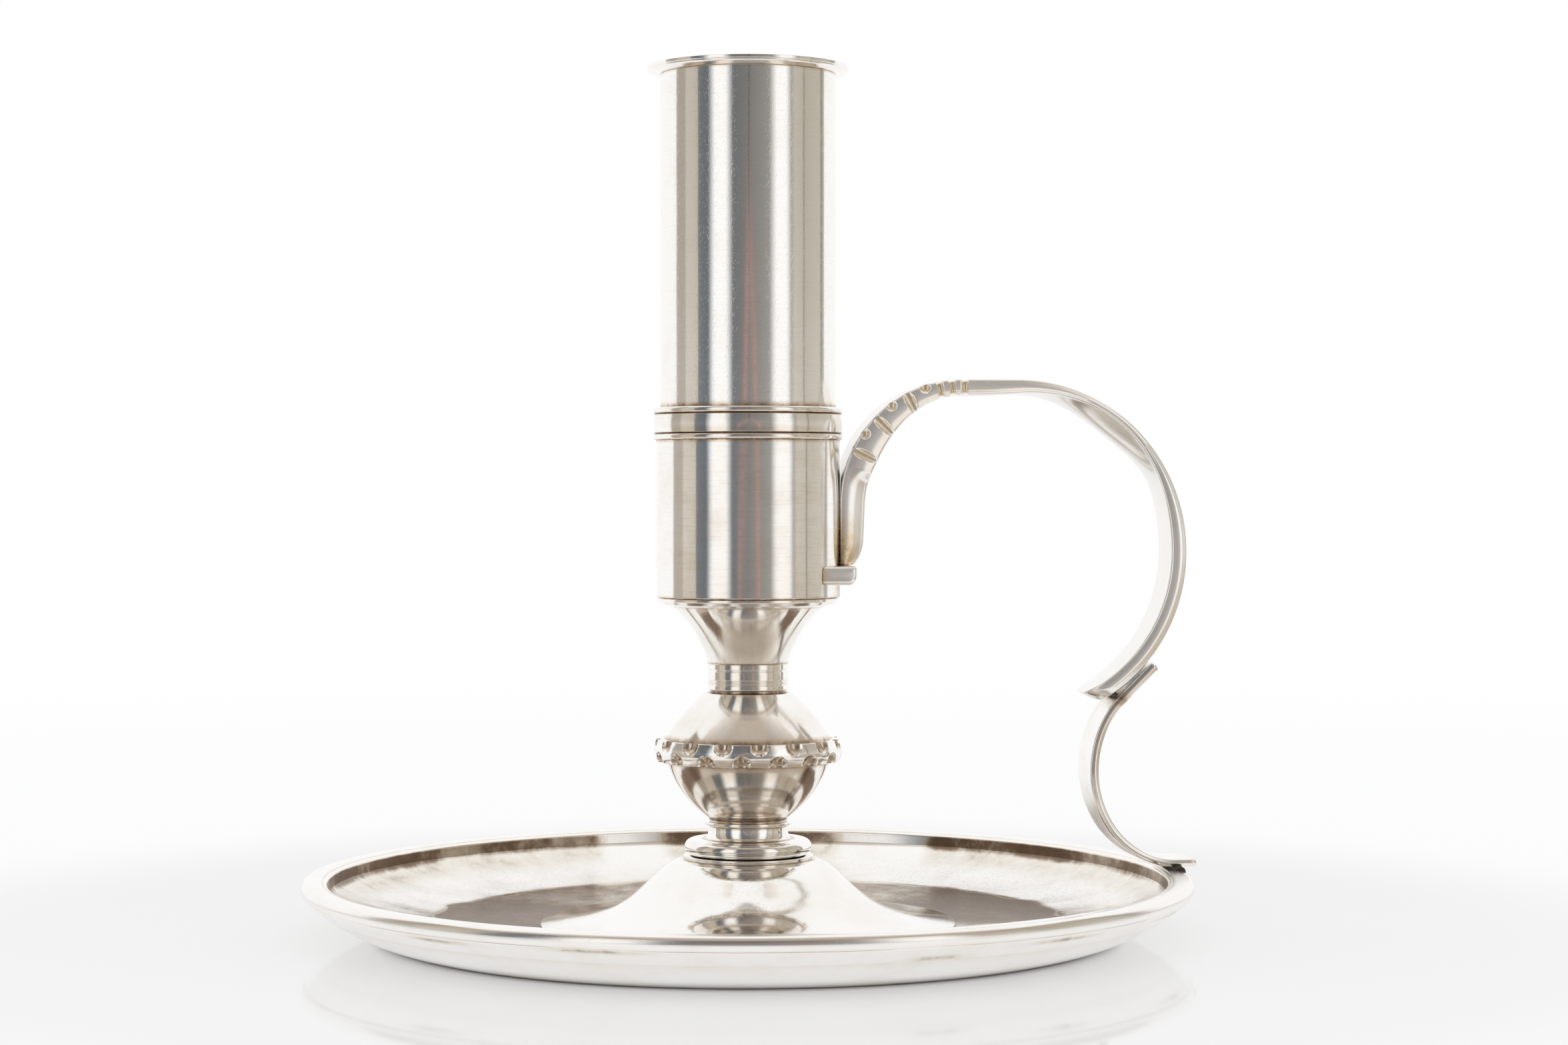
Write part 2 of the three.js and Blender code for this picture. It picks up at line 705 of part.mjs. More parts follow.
// Cutters on both sides of the strap: bars across its thickness and half moons on its outer edges
function strapOrnament() {
  const cutters = [];
  for (let i = 0; i < BAR_COUNT; i += 1) {
    const barAt = BAR_START + i * BAR_PITCH;
    const bar = station(strapPath, barAt);
    const moon = station(strapPath, barAt + BAR_PITCH / 2);
    const thickness = strapThickness(barAt);
    const turn = new THREE.Quaternion().setFromUnitVectors(
      new THREE.Vector3(0, 1, 0),
      new THREE.Vector3(bar.inwards.x, 0, bar.inwards.y),
    );
    for (const side of [-1, 1]) {
      const barAcross = side * (STRAP_WIDTH / 2 + BAR_RADIUS - BAR_DEPTH);
      const barMiddle = bar.point.clone().addScaledVector(bar.inwards, thickness / 2);
      const groove = new THREE.CylinderGeometry(BAR_RADIUS, BAR_RADIUS, 2 * thickness, 8);
      cutters.push(groove.applyQuaternion(turn).translate(barMiddle.x, barAcross, barMiddle.y));
      const moonAcross = side * (STRAP_WIDTH / 2 + MOON_RADIUS - MOON_DEPTH);
      const moonMiddle = moon.point.clone().addScaledVector(moon.inwards, MOON_INSET);
      const scoop = new THREE.SphereGeometry(MOON_RADIUS, 8, 6);
      cutters.push(scoop.translate(moonMiddle.x, moonAcross, moonMiddle.y));
    }
  }
  return cutters;
}

function handleStrap() {
  const section = (length) => ({
    thickness: strapThickness(length),
    inset: grooveInset(length),
    belly: BELLY * strapThinning(length) ** 2,
    lean: length === strapLength ? TIP_LEAN : 0,
  });
  const strap = strapAlong(strapPath, strapLengths(), STRAP_WIDTH, STRAP_EDGE, section);
  return cutAway(strap, [cupSaddle(), ...strapOrnament()]);
}

// The scroll stands on the crest of the rim and its blade touches the loop where that slopes at 45 degrees.
// Between them it is an ellipse, as tall as it must be to meet both.
function handleScroll() {
  const tailLevel = rimTop + SOLDER_GAP;
  const footX = rimRadius - SCROLL_FOOT_INSET;
  const slope = Math.SQRT1_2;
  const loopFace = (loopCenter.x - loopCenter.y) * slope + LOOP_RADIUS + SOLDER_GAP;
  const room = footX - tailLevel - loopFace / slope;
  const halfHeight = (room * room - SCROLL_REACH * SCROLL_REACH) / (2 * room);
  const center = at(footX, tailLevel + halfHeight);
  const bladeAngle = Math.atan2(halfHeight, -SCROLL_REACH);
  const bladeFoot = at(
    center.x + SCROLL_REACH * Math.cos(bladeAngle),
    center.y + halfHeight * Math.sin(bladeAngle),
  );
  const bladeTip = bladeFoot.clone().addScaledVector(at(slope, slope), SCROLL_BLADE);
  const bow = new THREE.EllipseCurve(
    center.x, center.y, SCROLL_REACH, halfHeight, (3 * Math.PI) / 2, bladeAngle, true,
  );
  const path = new THREE.CurvePath();
  path.add(new THREE.LineCurve(at(footX + SCROLL_TAIL, tailLevel), at(footX, tailLevel)));
  path.add(bow);
  path.add(new THREE.LineCurve(bladeFoot, bladeTip));
  const total = path.getLength();
  const section = (length) => ({
    thickness: THREE.MathUtils.lerp(SCROLL_TAIL_THICKNESS, SCROLL_THICKNESS, length / total),
    inset: 0,
    belly: 0,
    lean: 0,
  });
  return strapAlong(path, evenLengths(total), STRAP_WIDTH, SCROLL_EDGE, section);
}

place('dish', dish(), polished);
place('dish_rim', dishRim(), polished);
place('pan_dome', panDome(), polished);
place('collar_disc', collarDisc(), polished);
place('stem_spool', stemSpool(), worn);
place('knop_bowl', knopBowl(), polished);
place('knop_band', knopBand(), worn);
place('knop_cap', knopCap(), polished);
place('neck_collar', neckCollar(), worn);
place('stem_trumpet', stemTrumpet(), polished);
place('cup_base_ring', cupBaseRing(), polished);
place('cup_floor', cupFloor(), worn);
place('socket_cup', socketCup(), polished);
place('cup_mouth_band', cupMouthBand(), polished);
place('candle_tube', candleTube(), polished);
place('nozzle', nozzle(), polished);
place('tie_bolt', tieBolt(), steel);
place('tie_washer', tieWasher(), steel);
place('tie_nut', tieNut(), steel);
place('handle_foot', handleFoot(), warm);
place('handle_strap', handleStrap(), warm);
place('handle_scroll', handleScroll(), polished);

export default candlestick;
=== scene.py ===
"""Dress the silver chamber candlestick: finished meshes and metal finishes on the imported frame.

Sizes are in millimetres and become metres where a mesh is made. The stem stands on the Z axis, the table is at
height 0 and the handle points towards +X.
"""
import logging
import math
from collections.abc import Callable, Sequence
from dataclasses import dataclass
from enum import Enum
from typing import Any

import bpy
import numpy as np
from mathutils import Matrix, Vector


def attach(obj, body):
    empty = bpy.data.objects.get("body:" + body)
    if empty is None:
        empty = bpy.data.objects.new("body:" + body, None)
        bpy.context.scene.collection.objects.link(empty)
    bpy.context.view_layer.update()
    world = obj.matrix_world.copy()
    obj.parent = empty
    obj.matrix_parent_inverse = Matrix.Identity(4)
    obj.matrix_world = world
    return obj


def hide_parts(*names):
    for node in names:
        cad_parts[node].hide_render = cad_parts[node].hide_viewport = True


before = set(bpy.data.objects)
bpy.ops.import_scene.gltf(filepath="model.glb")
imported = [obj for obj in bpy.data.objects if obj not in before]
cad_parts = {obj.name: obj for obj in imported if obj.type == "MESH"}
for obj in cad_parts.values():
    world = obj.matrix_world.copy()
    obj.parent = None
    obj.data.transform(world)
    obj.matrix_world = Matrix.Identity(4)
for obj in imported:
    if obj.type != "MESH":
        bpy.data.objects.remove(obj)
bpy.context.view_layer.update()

MM = 0.001
POLE = 1.0
TURN_SEGMENTS = 192
PAN_SEGMENTS = 288
BAND_SEGMENTS = 640
BOLT_SEGMENTS = 64
WASHER_SEGMENTS = 96
NUT_SEGMENTS = 96
CURVE_STEPS = 16
ROUND_STEPS = 4
SHARP_ANGLE = math.radians(38)
SAME_PLACE = 6
# Attribute of tarnish and dirt, which on the pan, the scooped ring and the tail solder also carries painted shade and
# reflection.
GRIME_AND_SHADE = "grime"

Point = tuple[float, float]
Colour = tuple[float, float, float]
Rows = np.ndarray
Piece = bpy.types.Object
Inputs = dict[str | int, Any]

log = logging.getLogger("candlestick")


# Small sums


def smooth(low: float, high: float, value: Any) -> Any:
    """Ease from 0 at low to 1 at high, for a number or an array."""
    share = np.clip((np.asarray(value, float) - low) / (high - low), 0.0, 1.0)
    return share * share * (3.0 - 2.0 * share)


def mix(start: Any, end: Any, share: Any) -> Any:
    """Blend from start to end by a share."""
    return start + (end - start) * share


def fade(away: Any, reach: float) -> Any:
    """Fall off in a bell, from 1 at no distance."""
    return np.exp(-((away / reach) ** 2))


def curve(*pulls: Point, steps: int = CURVE_STEPS) -> list[Point]:
    """Points on a quadratic or cubic curve.

    Args:
        pulls: First point, the points that pull the curve, and last point.
        steps: Number of chords.

    Returns:
        The points, both ends included.
    """
    shares = np.linspace(0.0, 1.0, steps + 1)[:, None]
    runs = [np.array(pull) for pull in pulls]
    while len(runs) > 1:
        runs = [mix(a, b, shares) for a, b in zip(runs, runs[1:])]
    return [tuple(row) for row in runs[0]]


def through(marks: Sequence[Point], steps: int = 6) -> list[Point]:
    """Points on a smooth curve through some marks.

    Args:
        marks: Places that the curve passes through.
        steps: Number of chords between two marks.

    Returns:
        The points, both ends included.
    """
    rows = np.array(marks)
    rows = np.vstack([2 * rows[0] - rows[1], rows, 2 * rows[-1] - rows[-2]])
    points = []
    for a, b, c, d in zip(rows, rows[1:], rows[2:], rows[3:]):
        for t in np.arange(steps) / steps:
            points.append(tuple(b + 0.5 * t * (c - a + t * (2 * a - 5 * b + 4 * c - d + t * (3 * (b - c) + d - a)))))
    return [*points, tuple(rows[-2])]


def ellipse(center: Point, radii: Point, start: float, stop: float, steps: int = CURVE_STEPS) -> list[Point]:
    """Points on an ellipse from one angle to another, in degrees."""
    angles = np.radians(np.linspace(start, stop, steps + 1))
    return [(center[0] + radii[0] * math.cos(a), center[1] + radii[1] * math.sin(a)) for a in angles]


# Sections of turned pieces


@dataclass(frozen=True)
class Seam:
    """Place on a section where dirt gathers.

    Attributes:
        radius, height: The place.
        reach, amount: How far the dirt spreads along the section, and how thick it lies, from 0 to 1.
    """

    radius: float
    height: float
    reach: float = 0.6
    amount: float = 1.0


class Outline:
    """Closed section of a turned piece, run anticlockwise through (radius, height) corners."""

    def __init__(self) -> None:
        """Start with no corners."""
        self._corners: list[tuple[Rows, float]] = []

    def to(self, radius: float, height: float, soften: float = 0.0) -> "Outline":
        """Add a corner, with the radius of its worn edge, and return this outline."""
        self._corners.append((np.array((radius, height)), soften))
        return self

    def along(self, points: Sequence[Point]) -> "Outline":
        """Add the points of a curve and return this outline."""
        self._corners.extend((np.array(point), 0.0) for point in points)
        return self

    def points(self, step: float, seams: Sequence[Seam]) -> Rows:
        """Trace the section with its worn edges.

        Args:
            step: Longest chord to leave.
            seams: Places where the chords are shorter.

        Returns:
            One row of (radius, height) for each point.
        """
        traced = self._softened()
        for reach in (step, None):
            rows = []
            for here, ahead in zip(traced, traced[1:] + traced[:1]):
                longest = reach or self._fine_step(here, seams, step)
                on_axis = here[0] == 0.0 and ahead[0] == 0.0
                pieces = 1 if on_axis else max(1, math.ceil(float(np.linalg.norm(ahead - here)) / longest))
                rows.extend(mix(here, ahead, i / pieces) for i in range(pieces))
            traced = rows
        return np.array(traced)

    @staticmethod
    def _fine_step(here: Rows, seams: Sequence[Seam], step: float) -> float:
        """Longest chord to leave at a place near seams."""
        close = [s.reach / 3 for s in seams if math.hypot(here[0] - s.radius, here[1] - s.height) < 3 * s.reach + step]
        return min([step, *close])

    def _softened(self) -> list[Rows]:
        """Round the softened corners.

        Returns:
            The corners, with an arc and a support point on both sides of it for each softened one.
        """
        traced = []
        nearly_straight = 1.5
        for i, (corner, soften) in enumerate(self._corners):
            if soften <= 0.0:
                traced.append(corner)
                continue
            back = self._corners[i - 1][0] - corner
            ahead = self._corners[(i + 1) % len(self._corners)][0] - corner
            room = 0.45 * min(np.linalg.norm(back), np.linalg.norm(ahead))
            back, ahead = back / np.linalg.norm(back), ahead / np.linalg.norm(ahead)
            half = math.acos(float(np.clip(back @ ahead, -1.0, 1.0))) / 2
            if half > nearly_straight:
                traced.append(corner)
                continue
            reach = min(soften / math.tan(half), room)
            middle = corner + (back + ahead) / np.linalg.norm(back + ahead) * reach / math.cos(half)
            first, last = corner + back * reach - middle, corner + ahead * reach - middle
            sweep, support = math.pi - 2 * half, min(1.35 * reach, 1.05 * room)
            traced.append(corner + back * support)
            for turn in sweep * np.arange(ROUND_STEPS + 1) / ROUND_STEPS:
                traced.append(middle + (first * math.sin(sweep - turn) + last * math.sin(turn)) / math.sin(sweep))
            traced.append(corner + ahead * support)
        return traced


# Node trees


class Wire:
    """Value that leaves a node, with the sums that it can go into."""

    def __init__(self, sketch: "TreeSketch", socket: bpy.types.NodeSocket) -> None:
        """Hold the output socket and the sketch of its tree."""
        self._sketch, self.socket = sketch, socket

    def math(self, operation: str, *others: Any) -> "Wire":
        """Put this value and some others through a Math node."""
        return self._sketch.math(operation, self, *others)

    def __add__(self, other: Any) -> "Wire":
        """Add."""
        return self.math("ADD", other)

    def __sub__(self, other: Any) -> "Wire":
        """Take away."""
        return self.math("SUBTRACT", other)

    def __mul__(self, other: Any) -> "Wire":
        """Multiply."""
        return self.math("MULTIPLY", other)

    def __truediv__(self, other: Any) -> "Wire":
        """Divide."""
        return self.math("DIVIDE", other)

    def __rtruediv__(self, other: float) -> "Wire":
        """Divide a number by this value."""
        return self._sketch.math("DIVIDE", other, self)

    def ramp(self, low: float, high: float) -> "Wire":
        """Ease from 0 at low to 1 at high."""
        inputs = {"Value": self, "From Min": low, "From Max": high}
        return self._sketch.add("ShaderNodeMapRange", inputs, "Result", interpolation_type="SMOOTHSTEP")


class TreeSketch:
    """Places the nodes of one tree and links them."""

    def __init__(self, tree: bpy.types.NodeTree) -> None:
        """Hold the tree that takes the nodes."""
        self.tree = tree

    def node(self, kind: str, inputs: Inputs | None = None, **settings: Any) -> bpy.types.Node:
        """Add a node.

        Args:
            kind: Blender's name of the node type.
            inputs: A value or a wire for each input, by name or number.
            settings: Properties of the node.

        Returns:
            The new node.
        """
        node = self.tree.nodes.new(kind)
        for name, value in settings.items():
            setattr(node, name, value)
        for key, value in (inputs or {}).items():
            if isinstance(value, Wire):
                self.tree.links.new(value.socket, node.inputs[key])
            else:
                node.inputs[key].default_value = value
        return node

    def add(self, kind: str, inputs: Inputs | None = None, out: str | int = 0, **settings: Any) -> Wire:
        """Add a node and return the wire from one of its outputs."""
        return Wire(self, self.node(kind, inputs, **settings).outputs[out])

    def math(self, operation: str, *values: Any, clamp: bool = False) -> Wire:
        """Put numbers or wires through a Math node."""
        return self.add("ShaderNodeMath", dict(enumerate(values)), operation=operation, use_clamp=clamp)

    def vector(self, operation: str, *values: Any) -> Wire:
        """Put vectors through a Vector Math node."""
        return self.add("ShaderNodeVectorMath", dict(enumerate(values)), "Vector", operation=operation)

    def scaled(self, vector: Wire, amount: Any) -> Wire:
        """Make a vector longer or shorter."""
        return self.add("ShaderNodeVectorMath", {0: vector, 3: amount}, "Vector", operation="SCALE")

    def length(self, vector: Wire) -> Wire:
        """Length of a vector."""
        return self.add("ShaderNodeVectorMath", {0: vector}, "Value", operation="LENGTH")

    def split(self, vector: Wire) -> list[Wire]:
        """X, Y and Z of a vector."""
        return [Wire(self, out) for out in self.node("ShaderNodeSeparateXYZ", {0: vector}).outputs]

    def join(self, x: Any = 0.0, y: Any = 0.0, z: Any = 0.0) -> Wire:
        """Vector from X, Y and Z."""
        return self.add("ShaderNodeCombineXYZ", {"X": x, "Y": y, "Z": z})

    def noise(self, place: Wire, scale: Any, detail: float = 2.0, rough: float = 0.55, out: str = "Fac") -> Wire:
        """Noise at a place."""
        inputs = {"Vector": place, "Scale": scale, "Detail": detail, "Roughness": rough}
        return self.add("ShaderNodeTexNoise", inputs, out)

    def deep_noise(self, place: Wire, fourth: Wire, scale: Any) -> Wire:
        """Noise at a place with a fourth coordinate."""
        inputs = {"Vector": place, "W": fourth, "Scale": scale, "Detail": 2.0}
        return self.add("ShaderNodeTexNoise", inputs, "Fac", noise_dimensions="4D")

    def hollow(self, middle: Wire, radius: Wire, *aside: Wire) -> Wire:
        """Level of the floor of a round cut.

        Args:
            middle: Level of the middle of the ball or bar that cuts it.
            radius: Radius of that ball or bar.
            aside: Distances from its middle.

        Returns:
            The level.
        """
        room = radius * radius
        for distance in aside:
            room = room - distance * distance
        return middle - room.math("MAXIMUM", 0.0).math("SQRT")


class MaterialSketch(TreeSketch):
    """Sketch of the nodes of a new material."""

    def __init__(self, name: str) -> None:
        """Make the material, with no nodes.

        Args:
            name: What the material is called.
        """
        self.material = bpy.data.materials.new(name)
        self.material.use_nodes = True
        self.material.node_tree.nodes.clear()
        super().__init__(self.material.node_tree)

    def close(self, surface: Wire) -> bpy.types.Material:
        """Send a shader to the material's output and return the material."""
        self.node("ShaderNodeOutputMaterial", {"Surface": surface})
        return self.material


class NodeGroup(TreeSketch):
    """Node group with named inputs, drawn once.

    Attributes:
        title: What the group is called.
        family: Kind of its tree.
        numbers: Default of each number that goes in.
        inputs: Wires from what goes in, by name.
    """

    title: str
    family = "Shader"
    numbers: dict[str, float]

    def __init__(self) -> None:
        """Make the group and its inputs, then draw its nodes."""
        super().__init__(bpy.data.node_groups.new(self.title, f"{self.family}NodeTree"))
        for name, value in self._sockets().items():
            if isinstance(value, str):
                self.socket(name, value)
            else:
                self.socket(name, "Int" if isinstance(value, int) else "Float").default_value = value
        self.inputs = {out.name: Wire(self, out) for out in self.node("NodeGroupInput").outputs}
        self.draw()

    def _sockets(self) -> dict[str, Any]:
        """Default number or socket type of each input."""
        return self.numbers

    def socket(self, name: str, kind: str, way: str = "INPUT") -> Any:
        """Add a socket to the group."""
        return self.tree.interface.new_socket(name, in_out=way, socket_type=f"NodeSocket{kind}")

    def draw(self) -> None:
        """Add the nodes and close the group."""
        raise NotImplementedError


class GeometryTree(NodeGroup):
    """Geometry node tree that works a blank, ending in Realize Instances and Set Material."""

    family = "Geometry"

    def _sockets(self) -> dict[str, Any]:
        """The same, with the blank and its finish."""
        return {"Blank": "Geometry", **self.numbers, "Finish": "Material"}

    def place(self) -> Wire:
        """Place of each point."""
        return self.add("GeometryNodeInputPosition")

    def named(self, name: str) -> Wire:
        """Value that the blank carries under a name."""
        return self.add("GeometryNodeInputNamedAttribute", {"Name": name}, "Attribute")

    def soiled(self, geometry: Wire, dirt: Any) -> Wire:
        """Store the dirt, with any painted shade, on a geometry."""
        return self.add("GeometryNodeStoreNamedAttribute", {"Geometry": geometry, "Name": GRIME_AND_SHADE, "Value": dirt})

    def moved(self, geometry: Wire, **way: Wire) -> Wire:
        """Move the points of a geometry to a Position or by an Offset."""
        return self.add("GeometryNodeSetPosition", {"Geometry": geometry, **way})

    def rod(self, path: Wire, radius: Wire, facets: int) -> Wire:
        """Closed round rod along a path."""
        ring = self.add("GeometryNodeCurvePrimitiveCircle", {"Resolution": facets, "Radius": radius})
        return self.add("GeometryNodeCurveToMesh", {"Curve": path, "Profile Curve": ring, "Fill Caps": True})

    def close(self, geometry: Wire) -> None:
        """Send a geometry to the tree's output, shaded smooth and with its finish.

        Args:
            geometry: The worked blank.
        """
        self.socket("Piece", "Geometry", "OUTPUT")
        smoothed = self.add("GeometryNodeSetShadeSmooth", {"Geometry": geometry})
        plain = self.add("GeometryNodeRealizeInstances", {"Geometry": smoothed})
        dressed = self.add("GeometryNodeSetMaterial", {"Geometry": plain, "Material": self.inputs["Finish"]})
        self.node("NodeGroupOutput", {"Piece": dressed})

    def apply(self, piece: Piece, **values: Any) -> None:
        """Run the tree on a piece and keep the result as its plain mesh.

        Args:
            piece: Object whose mesh is the blank.
            values: Inputs by socket name, with _ for a space.
        """
        modifier = piece.modifiers.new(self.tree.name, "NODES")
        modifier.node_group = self.tree
        named = {item.name: item.identifier for item in self.tree.interface.items_tree if item.in_out == "INPUT"}
        for name, value in values.items():
            modifier[named[name.replace("_", " ")]] = value
        piece.update_tag()
        graph = bpy.context.evaluated_depsgraph_get()
        worked = piece.evaluated_get(graph)
        made = bpy.data.meshes.new_from_object(worked, preserve_all_data_layers=True, depsgraph=graph)
        piece.modifiers.remove(modifier)
        blank, piece.data = piece.data, made
        bpy.data.meshes.remove(blank)
        made.name = piece.name


class TurnedTree(GeometryTree):
    """Turns an outline round the Z axis, with the slight wobble of handwork."""

    title = "Turned piece"
    numbers = {"Segments": TURN_SEGMENTS, "Wobble": 0.0, "Wobble Size": 22 * MM}

    def draw(self) -> None:
        """Sweep the outline and sway it, but not up or down at the table."""
        take, place = self.inputs, self.place()
        section = self.add("GeometryNodeMeshToCurve", {"Mesh": take["Blank"]})
        section = self.add("GeometryNodeTransform", {
            "Geometry": section, "Translation": (-POLE, 0, 0), "Rotation": (math.pi / 2, 0, 0),
        })
        circle = self.add("GeometryNodeCurvePrimitiveCircle", {"Resolution": take["Segments"], "Radius": POLE})
        swept = self.add("GeometryNodeCurveToMesh", {"Curve": circle, "Profile Curve": section})
        closed = self.add("GeometryNodeMergeByDistance", {"Geometry": swept, "Distance": 1e-6})
        grain = self.noise(place, 1.0 / take["Wobble Size"], 1.0, out="Color")
        sway = self.scaled(self.vector("SUBTRACT", grain, (0.5, 0.5, 0.5)), take["Wobble"] * 2.0)
        lift = self.split(place)[2].ramp(1.5 * MM, 9 * MM)
        self.close(self.moved(closed, Offset=self.vector("MULTIPLY", sway, self.join(1.0, 1.0, lift))))


class ScoopedTree(GeometryTree):
    """Files round scoops into both edges of a ring, one row between the other, and darkens their floors with tarnish
    that is also painted shade.
    """

    title = "Scooped ring"
    numbers = {
        "Count": 16, "Scoop Radius": 1.6 * MM, "Reach": 14 * MM, "Upper Level": 26 * MM, "Lower Level": 24 * MM,
        "Softness": 0.06 * MM, "Dirt": 0.54,
    }

    def draw(self) -> None:
        """Draw each point in towards the axis as far as its scoop."""
        take = self.inputs
        x, y, z = self.split(self.place())
        radius = self.length(self.join(x, y))
        places = y.math("ARCTAN2", x) * (0.5 / math.pi) * take["Count"]
        filed = radius
        for shift, level in ((0.0, "Upper Level"), (0.5, "Lower Level")):
            shifted = places - shift
            angle = (shifted - shifted.math("ROUND")) * (2 * math.pi) / take["Count"]
            along, across = take["Reach"] * angle.math("COSINE"), take["Reach"] * angle.math("SINE")
            floor = self.hollow(along, take["Scoop Radius"], across, z - take[level])
            filed = filed.math("SMOOTH_MIN", floor, take["Softness"])
        scale = filed / radius
        # Darker the deeper the scoop: tarnish in the hollows and painted shade.
        dirt = (radius - filed).ramp(0.05 * MM, 0.4 * MM) * take["Dirt"]
        soiled = self.soiled(take["Blank"], self.named(GRIME_AND_SHADE).math("MAXIMUM", dirt))
        self.close(self.moved(soiled, Position=self.join(x * scale, y * scale, z)))


class FiledTree(GeometryTree):
    """Files cross bars, half moons and ribs into a strap that knows its own length and depth."""

    title = "Filed strap"
    numbers = {
        "Half Width": 4 * MM, "Bar Start": 16.4, "Pitch": 5.6, "Count": 3, "Bar Radius": 1.05, "Bar Depth": 0.42,
        "Moon Radius": 1.05, "Moon Depth": 0.6, "Moon Inset": 0.3, "Rib Start": 32.6, "Rib Pitch": 1.85,
        "Rib Count": 3, "Rib Radius": 0.5, "Rib Depth": 0.4, "Softness": 0.12, "Cut Dirt": 0.42, "Rib Dirt": 0.5,
    }

    def draw(self) -> None:
        """Cut bars and moons into the sides and ribs across both faces."""
        take, along, soft = self.inputs, self.named("along"), self.inputs["Softness"]

        def nearest(start: Wire, pitch: Wire, count: Wire) -> Wire:
            """Distance along the strap to the nearest of a row of marks."""
            number = ((along - start) / pitch).math("ROUND").math("MINIMUM", count - 1.0).math("MAXIMUM", 0.0)
            return along - start - number * pitch

        def cut(kind: str, surface: Any, *aside: Wire) -> Wire:
            """Floor of a round cut below a surface."""
            radius = take[f"{kind} Radius"]
            return self.hollow(radius + surface - take[f"{kind} Depth"], radius, *aside)

        y = self.split(self.place())[1]
        across, half = y.math("ABSOLUTE") * (1.0 / MM), take["Half Width"] * (1.0 / MM)
        to_bar = nearest(take["Bar Start"], take["Pitch"], take["Count"])
        to_moon = nearest(take["Bar Start"] + take["Pitch"] * 0.5, take["Pitch"], take["Count"])
        to_rib = nearest(take["Rib Start"], take["Rib Pitch"], take["Rib Count"])
        filed = across.math("SMOOTH_MIN", cut("Bar", half, to_bar), soft)
        filed = filed.math("SMOOTH_MIN", cut("Moon", half, to_moon, self.named("depth") - take["Moon Inset"]), soft)
        notch = across - filed
        ribbed = self.math("SMOOTH_MIN", 0.0, cut("Rib", 0.0, to_rib), soft)
        inwards = self.scaled(self.add("GeometryNodeInputNormal"), ribbed * MM)
        offset = self.vector("ADD", inwards, self.join(0.0, y.math("SIGN") * notch * -MM))
        dirt = (notch.ramp(0.05, 0.2) * take["Cut Dirt"]).math("MAXIMUM", ribbed.ramp(-0.1, -0.4) * take["Rib Dirt"])
        self.close(self.moved(self.soiled(take["Blank"], self.named(GRIME_AND_SHADE).math("MAXIMUM", dirt)), Offset=offset))


class SolderTree(GeometryTree):
    """Runs a lumpy bead along a seam."""

    title = "Solder bead"
    numbers = {"Bead Radius": 0.4 * MM, "Lump Size": 1.1 * MM, "Lump Height": 0.3 * MM, "Seed": 1.0, "Dirt": 0.8}

    def draw(self) -> None:
        """Sweep the bead and push its skin in and out."""
        take = self.inputs
        bead = self.rod(self.add("GeometryNodeMeshToCurve", {"Mesh": take["Blank"]}), take["Bead Radius"], 20)
        fine = self.add("GeometryNodeSubdivideMesh", {"Mesh": bead, "Level": 1})
        grain = self.deep_noise(self.place(), take["Seed"], 1.0 / take["Lump Size"])
        height = (grain - 0.5) * take["Lump Height"] * 2.0
        lumpy = self.moved(fine, Offset=self.scaled(self.add("GeometryNodeInputNormal"), height))
        self.close(self.soiled(lumpy, take["Dirt"]))


class ThreadTree(GeometryTree):
    """Winds a ridge round the shank of a bolt."""

    title = "Screw thread"
    numbers = {"Radius": 2.4 * MM, "Pitch": 0.8 * MM, "Turns": 7.0, "Start": 3.5 * MM, "Ridge": 0.26 * MM}

    def draw(self) -> None:
        """Wind the ridge and join it to the bolt."""
        take = self.inputs
        winding = self.add("GeometryNodeCurveSpiral", {
            "Resolution": 48, "Rotations": take["Turns"], "Start Radius": take["Radius"], "End Radius": take["Radius"],
            "Height": take["Pitch"] * take["Turns"],
        })
        ridge = self.add("GeometryNodeTransform", {
            "Geometry": self.rod(winding, take["Ridge"], 4), "Translation": self.join(z=take["Start"]),
        })
        joined = self.node("GeometryNodeJoinGeometry")
        for part in (take["Blank"], ridge):
            self.tree.links.new(part.socket, joined.inputs[0])
        self.close(Wire(self, joined.outputs[0]))


# Effects that several finishes share


class Effect(NodeGroup):
    """Shader group for one kind of mark on metal, with its sizes in millimetres.

    Attributes:
        output: Name of the value that comes out.
    """

    output = "Height"

    def place(self) -> Wire:
        """Object coordinates in millimetres."""
        return self.scaled(self.add("ShaderNodeTexCoord", out="Object"), 1.0 / MM)

    def named(self, name: str) -> Wire:
        """Value that the piece carries under a name."""
        return self.add("ShaderNodeAttribute", out="Fac", attribute_name=name)

    def close(self, value: Wire) -> None:
        """Send a value to the group's output."""
        self.socket(self.output, "Float", "OUTPUT")
        self.node("NodeGroupOutput", {self.output: value})


class TurnedLines(Effect):
    """Fine lines of polishing round the Z axis."""

    title = "Turned lines"
    numbers = {"Pitch": 0.15}

    def draw(self) -> None:
        """Stretch noise round the axis."""
        x, y, z = self.split(self.place())
        pitch, radius = self.inputs["Pitch"], self.length(self.join(x, y)).math("MAXIMUM", 0.01)
        way = self.join(x / radius * 3.0, y / radius * 3.0, z / pitch)
        self.close(self.deep_noise(way, radius / pitch, 1.0))


class DrawnLines(Effect):
    """Fine lines of polishing along a strap."""

    title = "Drawn lines"
    numbers = {"Pitch": 0.15}

    def draw(self) -> None:
        """Stretch noise along the strap."""
        pitch, across = self.inputs["Pitch"], self.split(self.place())[1]
        way = self.join(self.named("along") * 0.12, across / pitch, self.named("depth") / pitch)
        self.close(self.noise(way, 1.0))


class SheetWaves(Effect):
    """Gentle waves left in sheet that was raised by hand."""

    title = "Sheet waves"
    numbers = {"Size": 14.0}

    def draw(self) -> None:
        """Use plain noise."""
        self.close(self.noise(self.place(), 1.0 / self.inputs["Size"], 1.0))


